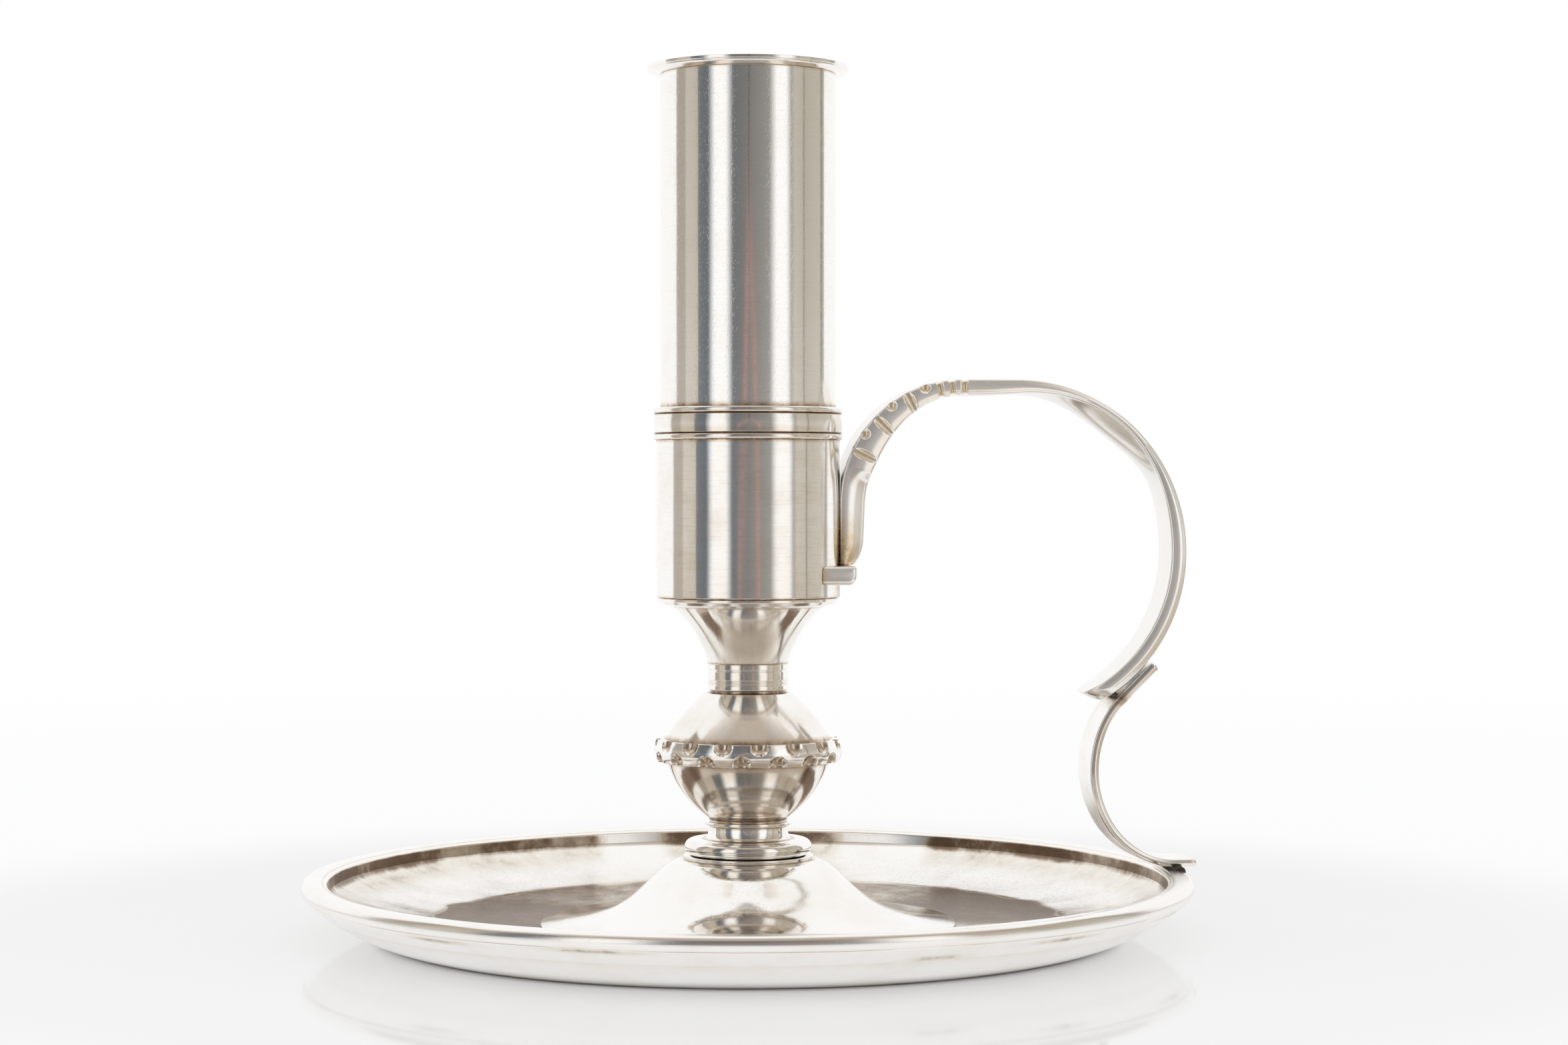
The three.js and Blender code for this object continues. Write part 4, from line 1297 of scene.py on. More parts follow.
@dataclass
class Stem(Assembly):
    """Turned and raised pieces between the dome and the cup, threaded on one bolt.

    Attributes:
        levels: Heights of the joints from the dome up to the cup.
        bore: Radius of the bolt hole.
        disc_radius, waist, neck_radius: Radii of the disc's lip, the spool's waist and the collar.
        bowl_foot, knop_radius, cap_crown: Radii of the knop's foot, middle and crown.
        knop_sheet, trumpet_sheet: Thickness of the knop's halves and of the trumpet.
        band_radius: Radius of the scooped ring.
        scoop_count, scoop_radius, scoop_depth: Scoops on each edge of the ring, their radius and depth.
        scoop_sink: How far a scoop's middle lies inside the edge.
        throat, flare: Radii of the trumpet's throat and mouth.
    """

    levels: tuple[float, ...] = (10.4, 13.2, 16.3, 24.1, 27.2, 33.6, 37.8, 45.75)
    bore: float = 2.8
    disc_radius: float = 9.1
    waist: float = 5.5
    bowl_foot: float = 5.75
    knop_radius: float = 11.55
    cap_crown: float = 6.15
    knop_sheet: float = 0.9
    band_radius: float = 13.1
    scoop_count: int = 16
    scoop_radius: float = 1.5
    scoop_depth: float = 1.0
    scoop_sink: float = 0.1
    neck_radius: float = 5.7
    throat: float = 5.6
    flare: float = 10.9
    trumpet_sheet: float = 0.9

    def build(self) -> None:
        """Make the seven pieces."""
        for make in (self._disc, self._spool, self._bowl, self._band, self._cap, self._neck, self._trumpet):
            make()

    def _disc(self) -> None:
        """Turn the disc with its thin lip and round edge."""
        (low, top), out = self.levels[0:2], self.disc_radius
        lip = low + 0.55
        half = (top - lip) / 2
        outline = Outline().to(self.bore, low, 0.1).to(out, low, 0.12).to(out, lip, 0.15).to(7.55, lip, 0.1)
        outline.along(ellipse((8.9 - half, top - half), (half, half), -80.0, 90.0)).to(self.bore, top, 0.1)
        seams = (Seam(7.8, lip, 0.4, 0.7), Seam(out, low, 0.3, 0.4), Seam(6.3, top, 0.4, 0.6))
        self.hand_turned("collar_disc", "collar", outline, STEM_SILVER, seams, 0.4)

    def _spool(self) -> None:
        """Turn the spool."""
        (low, top), waist = self.levels[1:3], self.waist
        side = curve((6.2, low), (waist, low + 0.1), (waist, top - 1.2), steps=10)
        outline = Outline().to(self.bore, low, 0.1).along(side[:-1]).to(*side[-1], 0.1)
        outline.to(6.0, top - 1.15, 0.2).to(6.0, top - 0.65, 0.2).to(5.45, top - 0.55, 0.1).to(5.45, top, 0.1)
        outline.to(self.bore, top, 0.1)
        seams = (Seam(6.2, low, 0.4, 0.6), Seam(waist, top - 1.2, 0.25, 0.6), Seam(5.45, top - 0.25, 0.3, 0.8))
        self.hand_turned("stem_spool", "spool", outline, STEM_SILVER, seams, 0.3)

    def _bowl(self) -> None:
        """Raise the lower half of the knop."""
        (low, top), foot, out, sheet = self.levels[2:4], self.bowl_foot, self.knop_radius, self.knop_sheet
        outside = curve((foot, low), (9.65, low + 2.9), (out, top), steps=24)
        inside = curve((foot - sheet, low + sheet), (9.65 - sheet, low + 2.9 + sheet), (out - sheet, top), steps=24)
        outline = Outline().to(self.bore, low, 0.1).to(*outside[0], 0.12).along(outside[1:]).along(inside[::-1])
        outline.to(self.bore, low + sheet, 0.1)
        seams = (Seam(foot, low, 0.4, 0.6), Seam(out, top, 0.6, 0.6), Seam(8.8, low + 2.6, 4.5, 0.3))
        self.hand_turned("knop_bowl", "bowl_half", outline, STEM_SILVER, seams, 0.4, wobble=0.03)

    def _band(self) -> None:
        """Turn the ring of the knop and file its scoops."""
        (low, top), bore = self.levels[3:5], self.knop_radius - self.knop_sheet
        edge, middle, sink = self.band_radius - 0.3, (low + top) / 2, self.scoop_sink
        swell = curve((edge + 0.05, low + 0.15), (self.band_radius + 0.28, middle), (edge + 0.05, top - 0.15), steps=12)
        outline = Outline().to(bore, low, 0.1).to(edge, low, 0.15).along(swell).to(edge, top, 0.15).to(bore, top, 0.1)
        seams = (Seam(self.knop_radius, low, 0.5, 0.6), Seam(self.knop_radius, top, 0.5, 0.6))
        piece = self.bench.turned("scooped_band", outline, STEM_SILVER, seams, 0.13, BAND_SEGMENTS)
        reach = self.band_radius + self.scoop_radius - self.scoop_depth
        self.bench.work(
            ScoopedTree, piece, STEM_SILVER, Count=self.scoop_count, Scoop_Radius=self.scoop_radius * MM,
            Reach=reach * MM, Upper_Level=(top - sink) * MM, Lower_Level=(low + sink) * MM,
        )
        self.bench.hand_over(piece, "knop_band")

    def _cap(self) -> None:
        """Raise the upper half of the knop."""
        (low, top), crown, out, sheet = self.levels[4:6], self.cap_crown, self.knop_radius, self.knop_sheet
        outside = curve((out, low), (10.05, top - 3.6), (crown, top), steps=24)
        inside = curve((crown - sheet, top - sheet), (10.05 - sheet, top - 3.6 - sheet), (out - sheet, low), steps=24)
        outline = Outline().along(outside[:-1]).to(*outside[-1], 0.12).to(self.bore, top, 0.1)
        outline.to(self.bore, top - sheet, 0.1).along(inside)
        seams = (Seam(out, low, 0.8, 0.6), Seam(5.5, top, 0.4, 0.7), Seam(10.0, low + 3.0, 4.0, 0.25))
        self.hand_turned("knop_cap", "cap_half", outline, STEM_SILVER, seams, 0.4, wobble=0.03)

    def _neck(self) -> None:
        """Turn the collar with its fine reeds."""
        (low, top), out = self.levels[5:7], self.neck_radius
        outline = Outline().to(self.bore, low, 0.1).to(5.35, low, 0.1).to(5.35, low + 0.45, 0.1)
        outline.to(out, low + 0.5, 0.12)
        for groove in (low + 1.25, low + 1.75, low + 3.2):
            outline.to(out, groove - 0.16, 0.1).to(5.52, groove, 0.06).to(out, groove + 0.16, 0.1)
        outline.to(out, top - 0.12, 0.1).to(self.throat, top, 0.06).to(self.bore, top, 0.1)
        seams = (Seam(5.35, low + 0.2, 0.35, 0.7), Seam(5.52, low + 1.5, 0.4, 0.35), Seam(self.throat, top, 0.25, 0.6))
        self.hand_turned("neck_collar", "reeded_neck", outline, STEM_SILVER, seams, 0.3)

    def _trumpet(self) -> None:
        """Raise the trumpet."""
        (low, top), throat, flare = self.levels[6:8], self.throat, self.flare
        outside = curve((throat, low), (6.4, low + 2.8), (8.3, top - 1.65), (flare, top), steps=28)
        outline = Outline().along(outside).along([(r - self.trumpet_sheet, z) for r, z in outside[::-1]])
        seams = (Seam(throat, low, 0.3, 0.5), Seam(flare, top, 0.5, 0.5), Seam(6.2, low + 3.5, 4.5, 0.2))
        self.hand_turned("stem_trumpet", "trumpet", outline, FLARE_SILVER, seams, 0.4, wobble=0.02)


@dataclass
class Cup(Assembly):
    """Cup that takes the candle tube: base ring, floor, wall and moulded mouth.

    Attributes:
        ring_low, ring_top: Heights of the base ring's underside and top.
        floor_top, wall_top, mouth_top: Heights of the tops of the floor, the wall and the mouth.
        ring_bore, ring_radius: Inner and outer radius of the base ring.
        bore, radius: The same of the wall.
        mouth_radius: Outer radius of the mouth moulding.
        bead, dip: Height of the mouth's beads, and depth of the grooves beside them.
        bolt_bore: Radius of the bolt hole.
    """

    ring_low: float = 45.75
    ring_top: float = 47.0
    ring_bore: float = 9.5
    ring_radius: float = 12.6
    floor_top: float = 48.0
    wall_top: float = 68.9
    mouth_top: float = 73.4
    bore: float = 12.4
    radius: float = 12.85
    mouth_radius: float = 13.28
    bead: float = 0.85
    dip: float = 0.3
    bolt_bore: float = 2.8

    def build(self) -> None:
        """Make the four pieces."""
        for make in (self._base_ring, self._floor, self._wall, self._mouth):
            make()

    def _base_ring(self) -> None:
        """Turn the base ring."""
        low, top, bore, out = self.ring_low, self.ring_top, self.ring_bore, self.ring_radius
        outline = Outline().to(bore, low, 0.1).to(11.4, low, 0.2).to(12.2, low + 0.3, 0.3).to(out, low + 0.75, 0.25)
        outline.to(out, top - 0.14, 0.12).to(12.4, top, 0.05).to(bore, top, 0.1)
        seams = (Seam(12.5, top, 0.25, 0.7), Seam(11.0, low, 0.4, 0.5))
        self.hand_turned("cup_base_ring", "base_ring", outline, CUP_SILVER, seams, 0.3)

    def _floor(self) -> None:
        """Cut the floor."""
        low, top, hole, edge = self.ring_top, self.floor_top, self.bolt_bore, self.bore - 0.1
        outline = Outline().to(hole, low, 0.1).to(edge, low, 0.1).to(edge, top, 0.1).to(hole, top, 0.1)
        seams = (Seam(edge, top, 2.0, 0.9), Seam(6.0, top, 1.2, 0.9))
        self.hand_turned("cup_floor", "floor_plate", outline, STEM_SILVER, seams, 0.6)

    def _wall(self) -> None:
        """Roll the wall."""
        low, top, bore, out = self.ring_top, self.wall_top, self.bore, self.radius
        outline = Outline().to(bore, low, 0.08).to(out, low, 0.18).to(out, top, 0.08).to(bore, top, 0.08)
        seams = (Seam(out, low, 0.3, 0.5), Seam(out, top, 0.5, 0.55))
        piece = self.bench.turned("cup_wall", outline, CUP_SILVER, seams, 0.8, wobble=0.01)
        self.bench.stain(piece, self._film)
        self.bench.hand_over(piece, "socket_cup")

    def _film(self, places: Rows) -> Rows:
        """Amount of film at rows of (x, y, z), next to the handle's foot."""
        beside = fade(np.maximum(np.abs(places[:, 1]) - 4.0, 0.0), 2.2) * (places[:, 0] > 0.0)
        return 0.6 * beside * (1.0 - smooth(self.ring_top + 5.0, self.ring_top + 20.0, places[:, 2]))

    def _mouth(self) -> None:
        """Turn the moulding of the mouth: a bead, a wide band and another bead."""
        low, top, out, bead = self.wall_top, self.mouth_top, self.mouth_radius, self.bead
        dip, band, under, over = self.dip, out - self.dip, low + self.bead, top - self.bead
        swell = curve((out - 0.08, under + 0.4), (out + 0.05, (low + top) / 2), (out - 0.08, over - 0.4), steps=10)
        outline = Outline().to(self.bore, low, 0.08).to(band, low, 0.1)
        outline.along(ellipse((band, low + bead / 2), (dip, bead / 2), -70.0, 70.0, 10))
        outline.to(band, under + 0.05, 0.05).to(out - 0.1, under + 0.14, 0.1).along(swell)
        outline.to(out - 0.1, over - 0.14, 0.1).to(band, over - 0.05, 0.05)
        outline.along(ellipse((band, top - bead / 2), (dip, bead / 2), -70.0, 80.0, 10))
        outline.to(band - 0.1, top, 0.05).to(self.bore, top, 0.08)
        seams = (
            Seam(band, under, 0.28, 1.0), Seam(band, over, 0.28, 1.0), Seam(band, low, 0.3, 0.7),
            Seam(self.bore, top, 0.4, 0.7),
        )
        self.hand_turned("cup_mouth_band", "mouth_band", outline, CUP_SILVER, seams, 0.3)


@dataclass
class CandleTube(Assembly):
    """Tube that lifts out of the cup, and the loose nozzle in its top.

    Attributes:
        low, top: Heights of the tube's ends.
        radius, wall: Outer radius and thickness of the tube.
        mouth: Height of the cup's mouth, where dirt gathers.
        sleeve_radius, sleeve_wall, sleeve_length: Outer radius, thickness and length of the nozzle's sleeve.
        flange_radius, flange_top: Radius and height of its flange.
    """

    low: float = 48.0
    top: float = 119.8
    radius: float = 12.3
    wall: float = 0.5
    mouth: float = 73.4
    sleeve_radius: float = 11.7
    sleeve_wall: float = 0.5
    sleeve_length: float = 10.0
    flange_radius: float = 14.08
    flange_top: float = 120.98

    def build(self) -> None:
        """Make the tube and the nozzle."""
        self._tube()
        self._nozzle()

    def _tube(self) -> None:
        """Roll the tube."""
        low, top, out, bore = self.low, self.top, self.radius, self.radius - self.wall
        outline = Outline().to(bore, low, 0.1).to(out, low, 0.1).to(out, top, 0.1).to(bore, top, 0.1)
        seams = (Seam(out, self.mouth, 0.7, 0.6), Seam(out, top, 0.4, 0.4))
        self.hand_turned("candle_tube", "tube_shell", outline, TUBE_SILVER, seams, 0.9, body="tube")

    def _nozzle(self) -> None:
        """Turn the nozzle: a sleeve under a flange with a worn lip."""
        end, under, out, top = self.top - self.sleeve_length, self.top, self.flange_radius, self.flange_top
        sleeve, bore = self.sleeve_radius, self.sleeve_radius - self.sleeve_wall
        outline = Outline().to(bore, end, 0.12).to(sleeve, end, 0.12).to(sleeve, under, 0.05)
        outline.to(out - 1.1, under, 0.1).to(out - 0.25, under + 0.3, 0.25).to(out - 0.05, under + 0.5, 0.08)
        outline.to(out - 0.12, under + 0.62, 0.05).to(out, under + 0.72, 0.06).to(out, top - 0.08, 0.08)
        outline.to(out - 0.4, top, 0.1).to(bore + 0.5, top, 0.2).to(bore, top - 0.5, 0.2)
        seams = (Seam(self.radius, under, 0.3, 0.25), Seam(out - 0.12, under + 0.62, 0.1, 0.25))
        self.hand_turned("nozzle", "candle_nozzle", outline, TUBE_SILVER, seams, 0.5, body="nozzle")


@dataclass
class Handle(Assembly):
    """Strap handle: a foot on the cup, a carved strap bent to a loop and a scroll down to the rim.

    Attributes:
        width: Width of the strap and the scroll.
        cup_radius: Outer radius of the cup.
        back, root: Distance of the strap's outer face from the axis at the cup, and height of its lower end.
        rise, shoulder, top_run: Straight length up the cup, radius of the shoulder and straight length on top.
        loop, loop_end: Radius of the loop, and angle of its end below level.
        thin_at: Angle of the loop's thinnest place above level.
        root_thick, body_thick, grip_thick: Thickness at the foot, at the first bar, and after the ribs.
        thin_thick, belly: Thickness of the loop's sides where it is thinnest, and how far its inner face bows out.
        edge: Radius of the strap's edges.
        crown: How far the sides stand out in the middle, as a share of the thickness.
        taper: How much the sides come in towards the inner face near the root.
        bar_start, pitch: Length along the strap to the first bar, and distance between bars.
        rib_start, rib_pitch, rib_count: The same for the ribs, and their number.
        tip, tip_lean: Length of the loop's rounded end, and how far it leans along the strap.
        solder_gap: Gap left for solder.
        rim_top: Height of the pan's rim.
        bow_middle, bow_reach, bow_height: Distance of the scroll's bow from the axis, and half its width and height.
        tail_end, blade: Distance of the scroll's tail from the axis, and length of its blade along the loop.
        foot_low, foot_width, foot_reach: Height of the foot's underside, its width, and how far it stands out.
    """

    width: float = 8.0
    cup_radius: float = 12.85
    back: float = 12.5
    root: float = 51.4
    rise: float = 8.8
    shoulder: float = 17.3
    top_run: float = 8.0
    loop: float = 24.3
    loop_end: float = 60.5
    thin_at: float = 52.0
    root_thick: float = 3.3
    body_thick: float = 4.0
    grip_thick: float = 2.3
    thin_thick: float = 1.1
    belly: float = 2.2
    edge: float = 0.5
    crown: float = 0.06
    taper: float = 0.8
    bar_start: float = 16.4
    pitch: float = 5.6
    rib_start: float = 32.6
    rib_pitch: float = 1.85
    rib_count: int = 3
    tip: float = 2.8
    tip_lean: float = 0.65
    solder_gap: float = 0.3
    rim_top: float = 8.3
    bow_middle: float = 60.4
    bow_reach: float = 12.3
    bow_height: float = 13.87
    tail_end: float = 63.56
    blade: float = 6.9
    foot_low: float = 48.8
    foot_width: float = 18.0
    foot_reach: float = 1.25

    def __post_init__(self) -> None:
        """Lay out the strap's outer face and the lengths along it where its thickness turns."""
        turn = (self.back + self.shoulder, self.root + self.rise)
        loop_x, top = turn[0] + self.top_run, turn[1] + self.shoulder
        over = ellipse(turn, (self.shoulder, self.shoulder), 180.0, 90.0, 300)
        round_loop = ellipse((loop_x, top - self.loop), (self.loop, self.loop), 90.0, -self.loop_end, 500)
        self._path = Path(
            [(self.back, self.root), (self.back, turn[1])], over, [(turn[0], top), (loop_x, top)], round_loop
        )
        self._ends = WornEnds(self._path.length, 0.45, 6)
        loop_start = self._path.length - self.loop * math.radians(90.0 + self.loop_end)
        self._rib_end = self.rib_start + (self.rib_count - 1) * self.rib_pitch
        self._thinnest = loop_start + self.loop * math.radians(90.0 - self.thin_at)
        self._grip = loop_start + self.loop * math.radians(90.0)

    def build(self) -> None:
        """Make the foot, the strap, the scroll and the solder that holds them."""
        for make in (self._foot, self._strap, self._scroll, self._solder):
            make()

    def _thinning(self, length: float) -> float:
        """How far the sides have thinned, from 0 at the ribs to 1 on the loop and back to 0."""
        thickening = smooth(self._thinnest, self._grip, length)
        return float(min(smooth(self._rib_end, self._thinnest, length), 1.0 - thickening))

    def _strap_section(self, length: float) -> StrapSection:
        """Find the cross section of the strap.

        Args:
            length: Distance along the strap.

        Returns:
            The section.
        """
        if length < self.bar_start:
            toe = max(0.0, 1.0 - length / 3.5)
            thickness = mix(self.root_thick, self.body_thick, length / self.bar_start) - 1.25 * toe * toe
        else:
            full = mix(self.body_thick, self.grip_thick, float(smooth(self.bar_start, self._rib_end, length)))
            thickness = mix(full, self.thin_thick, self._thinning(length))
        end = self._path.length
        tip = max(0.0, 1.0 - (end - length) / self.tip)
        return StrapSection(
            thickness, self.width * math.sqrt(1.0 - 0.7 * tip * tip), self.edge, self._ends.inset(length),
            self.crown * thickness, self.belly * self._thinning(length) ** 2,
            self.taper * (1.0 - float(smooth(self.bar_start - 4.5, self.bar_start - 2.0, length))),
            self.tip_lean * float(smooth(end - 4.0, end, length)),
        )

    @staticmethod
    def _forged(
        path: Path, lengths: Rows, section: Callable[[float], StrapSection]
    ) -> tuple[list[Rows], dict[str, Rows]]:
        """Set a row of cross sections on a path.

        Args:
            path: Path of the outer face.
            lengths: Distances along it.
            section: Gives the cross section at a distance.

        Returns:
            The rings, and the length and depth at each of their points.
        """
        rings, marks, depths = [], [], []
        for length in lengths:
            shape = section(length)
            rows = shape.ring()
            point, way = path.at(length)
            flat = point + rows[:, :1] * (np.array((way[1], -way[0])) + way * shape.lean)
            rings.append(np.column_stack([flat[:, 0], rows[:, 1], flat[:, 1]]))
            marks.append(np.full(len(rows), length))
            depths.append(rows[:, 0])
        return rings, {"along": np.concatenate(marks), "depth": np.concatenate(depths)}

    def _strap(self) -> None:
        """Forge the strap, fit it to the cup and file its ornament."""
        end, worn = self._path.length, self._ends.worn
        carved = np.arange(self.bar_start - 2.4, self.rib_start + 6.5, 0.14)
        plain = np.arange(worn, end - worn, 0.7)
        plain = plain[(plain < carved[0]) | (plain > carved[-1])]
        lengths = self._ends.stations(plain, carved, np.linspace(end - self.tip, end - worn, 12))
        rings, marks = self._forged(self._path, lengths, self._strap_section)
        for ring in rings:
            saddle = np.sqrt(np.maximum(0.0, (self.cup_radius + 0.12) ** 2 - ring[:, 1] ** 2))
            on_cup = ring[:, 2] < self.root + self.rise + 6.0
            ring[on_cup, 0] = np.maximum(ring[on_cup, 0], saddle[on_cup])
        piece = self.bench.skinned("strap", rings, **marks, grime=np.zeros(len(rings) * len(rings[0])))
        self.bench.work(
            FiledTree, piece, STRAP_SILVER, Half_Width=self.width / 2 * MM, Bar_Start=self.bar_start, Pitch=self.pitch,
            Rib_Start=self.rib_start, Rib_Pitch=self.rib_pitch, Rib_Count=self.rib_count,
        )
        self.bench.stain(piece, self._patina)
        self.bench.hand_over(piece, "handle_strap")

    def _patina(self, places: Rows) -> Rows:
        """Amount of yellow film at rows of (x, y, z), low on the strap and next to the cup."""
        near = 1.0 - smooth(self.cup_radius + 0.5, self.cup_radius + 3.5, places[:, 0])
        return 0.5 * (1.0 - smooth(self.root + 1.0, self.root + 13.0, places[:, 2])) * mix(0.25, 1.0, near)

    def _scroll(self) -> None:
        """Bend the scroll: a tail on the rim, a bow, and a blade along the loop."""
        tail, reach, half = self.rim_top + self.solder_gap, self.bow_reach, self.bow_height
        blade_turn = math.degrees(math.atan2(half, -reach))
        bow = ellipse((self.bow_middle, tail + half), (reach, half), 270.0, blade_turn, 400)
        slant = self.blade * math.sqrt(0.5)
        path = Path([(self.tail_end, tail), (self.bow_middle, tail)], bow, [bow[-1], np.add(bow[-1], slant)])
        ends = WornEnds(path.length, 0.5, 7)

        def section(length: float) -> StrapSection:
            """Cross section at a distance along the scroll."""
            thickness = mix(1.05, 1.4, length / path.length)
            return StrapSection(thickness, self.width, 0.3, ends.inset(length), self.crown * thickness)

        lengths = ends.stations(np.arange(ends.worn, path.length - ends.worn, 0.5))
        rings, marks = self._forged(path, lengths, section)
        at_blade = fade(marks["along"] - (path.length - self.blade), 1.6)
        grime = 0.6 * at_blade + 0.25 * (1.0 - smooth(1.0, 5.0, marks["along"]))
        self.bench.hand_over(self.bench.skinned("scroll", rings, SCROLL_SILVER, **marks, grime=grime), "handle_scroll")

    def _foot(self) -> None:
        """File the foot: a small shelf with a round underside, fitted to the cup."""
        top, half, ends = self.root, self.foot_width / 2, WornEnds(self.foot_width, 0.6, 5)
        rings = []
        for place in ends.stations(np.linspace(ends.worn, self.foot_width - ends.worn, 40)):
            station, inset = place - half, ends.inset(place)
            saddle = math.sqrt((self.cup_radius + 0.05) ** 2 - station**2)
            edge, low, high = self.cup_radius + self.foot_reach - inset, self.foot_low + inset, top - inset
            curl, lip_curl = min(1.3, 0.5 * (high - low)), min(0.35, 0.3 * (high - low))
            under = ellipse((edge - curl, low + curl), (curl, curl), -90.0, 0.0, 8)
            lip = ellipse((edge - lip_curl, high - lip_curl), (lip_curl, lip_curl), 0.0, 90.0, 4)
            face = [(edge, z) for z in np.linspace(under[-1][1], lip[0][1], 8)[1:-1]]
            shelf = [(x, high) for x in np.linspace(edge - lip_curl, saddle, 14)[1:]]
            back = [(saddle, z) for z in np.linspace(high, low, 12)[1:]]
            floor = [(x, low) for x in np.linspace(saddle, edge - curl, 12)[1:-1]]
            rings.append(np.array([(x, station, z) for x, z in (*under, *face, *lip, *shelf, *back, *floor)]))
        places = np.vstack(rings)
        to_cup = np.hypot(places[:, 0], places[:, 1]) - self.cup_radius
        grime = np.maximum(0.5 * fade(to_cup, 0.4), 0.3 * fade(places[:, 2] - top, 0.3))
        marks = {"along": places[:, 1], "depth": places[:, 2], GRIME_AND_SHADE: grime}
        self.bench.hand_over(self.bench.skinned("strap_foot", rings, STRAP_SILVER, **marks), "handle_foot")

    def _solder(self) -> None:
        """Run solder under the tail of the scroll, dark enough to also stand in as painted shade in the gap over the
        rim, and between its blade and the loop.
        """
        # The bead under the tail is dark solder and painted shade in the gap between the scroll and the rim.
        rim = np.radians(np.linspace(-5.4, 4.2, 40))
        under_tail = np.column_stack([60.9 * np.cos(rim), 60.9 * np.sin(rim), np.full(rim.size, 7.95)])
        across = np.linspace(-3.6, 3.6, 30)
        at_blade = np.column_stack([np.full(across.size, 51.75), across, np.full(across.size, 33.1)])
        for name, rows, radius, seed in (("tail_solder_and_shade", under_tail, 0.78, 3.0), ("blade_solder", at_blade, 0.3, 7.0)):
            piece = self.bench.blank(name, rows, edges=[(i, i + 1) for i in range(len(rows) - 1)])
            self.bench.work(
                SolderTree, piece, SOLDER_GREY, Bead_Radius=radius * MM, Lump_Height=0.6 * radius * MM, Seed=seed
            )
            self.bench.hand_over(piece, "handle_foot", stands_for=False)


@dataclass
class Fastenings(Assembly):
    """Bolt through the stem, with a washer and a nut under the dome.

    Attributes:
        bolt_radius, core, bolt_end: Radius of the shank, of its core under the thread, and height of its end.
        thread_pitch, thread_turns, thread_end: Pitch and turns of the thread, and height where the full shank starts.
        head_radius, head_low, head_top: Radius of the head, and heights of its underside and top.
        washer_radius, washer_bore: Outer and inner radius of the washer.
        washer_low, washer_top: Heights of its underside and top.
        nut_flats, nut_low: Width of the nut across its flats, and height of its underside.
    """

    bolt_radius: float = 2.5
    core: float = 2.25
    thread_pitch: float = 0.8
    thread_turns: float = 10.0
    thread_end: float = 12.0
    head_radius: float = 6.0
    head_low: float = 48.0
    head_top: float = 49.5
    bolt_end: float = 3.3
    washer_radius: float = 7.0
    washer_bore: float = 2.8
    washer_low: float = 8.5
    washer_top: float = 9.5
    nut_flats: float = 8.0
    nut_low: float = 4.5

    def build(self) -> None:
        """Make the three pieces."""
        self._bolt()
        self._washer()
        self._nut()

    def _bolt(self) -> None:
        """Turn the bolt and wind its thread."""
        end, low, top, head, shank = self.bolt_end, self.head_low, self.head_top, self.head_radius, self.bolt_radius
        outline = Outline().to(0.0, end).to(self.core, end, 0.4).to(self.core, self.thread_end, 0.1)
        outline.to(shank, self.thread_end + 0.4, 0.1).to(shank, low, 0.05).to(head, low, 0.1)
        outline.to(head, top - 0.3, 0.5).to(head - 1.6, top, 0.8).to(0.0, top)
        piece = self.bench.turned("bolt", outline, BOLT_STEEL, (Seam(head, low, 0.8),), 1.0, BOLT_SEGMENTS)
        self.bench.work(
            ThreadTree, piece, BOLT_STEEL, Radius=(self.core - 0.02) * MM, Pitch=self.thread_pitch * MM,
            Turns=self.thread_turns, Start=(end + 0.4) * MM,
        )
        self.bench.hand_over(piece, "tie_bolt")

    def _washer(self) -> None:
        """Punch the washer."""
        low, top, bore, out = self.washer_low, self.washer_top, self.washer_bore, self.washer_radius
        outline = Outline().to(bore, low, 0.15).to(out, low, 0.25).to(out, top, 0.1).to(bore, top, 0.1)
        seams = (Seam(4.6, low, 0.7, 0.8),)
        self.hand_turned("tie_washer", "washer", outline, BOLT_STEEL, seams, 0.4, WASHER_SEGMENTS)

    def _nut(self) -> None:
        """Cut the nut, with its corners turned off."""
        low, top, across = self.nut_low, self.washer_low, self.nut_flats / 2
        turns = np.arange(NUT_SEGMENTS) * (2 * math.pi / NUT_SEGMENTS)
        flat = across / np.cos((turns + math.pi / 6) % (math.pi / 3) - math.pi / 6)
        cut, worn = np.minimum(flat, across * 1.12), np.minimum(flat, across * 1.01)
        bore = np.full(NUT_SEGMENTS, self.bolt_radius + 0.05)
        rings = [
            np.column_stack([radius * np.cos(turns), radius * np.sin(turns), np.full(NUT_SEGMENTS, height)])
            for radius, height in (
                (bore, low + 0.3), (bore + 0.3, low), (worn - 0.15, low), (worn, low + 0.08), (cut, low + 0.45),
                (cut, low + 0.55), (cut, top - 0.55), (cut, top - 0.45), (worn, top - 0.08), (worn - 0.15, top),
                (bore + 0.3, top), (bore, top - 0.3), (bore, low + 2.0),
            )
        ]
        places = np.vstack(rings)
        grime = 0.7 * fade(np.hypot(places[:, 0], places[:, 1]) - bore[0], 0.8)
        piece = self.bench.skinned("nut", rings, BOLT_STEEL, round_trip=True, grime=grime)
        self.bench.hand_over(piece, "tie_nut")


# The studio


def shade(level: float, warmth: float = 0.5) -> Colour:
    """Grey of a card, from neutral at warmth 0 to brown at warmth 2."""
    return level, level * (1.0 - 0.12 * warmth), level * (1.0 - 0.24 * warmth)


CARD_WHITE = 1.05
WHITE = shade(CARD_WHITE, 0.0)
ROD_BROWN = (0.58, 0.32, 0.27)
WALL_FOOT = (1.24, 1.27, 1.32)
WALL_GREY = (0.53, 0.49, 0.42)


@dataclass(frozen=True)
class CardEdge:
    """Level edge of a card.

    Attributes:
        distance, height: Distance from the axis and height, in metres.
        tint: Colour that the card's own colours are multiplied by here.
        turn: How far it is turned to the right, in degrees.
    """

    distance: float
    height: float
    tint: Colour = (1.0, 1.0, 1.0)
    turn: float = 0.0


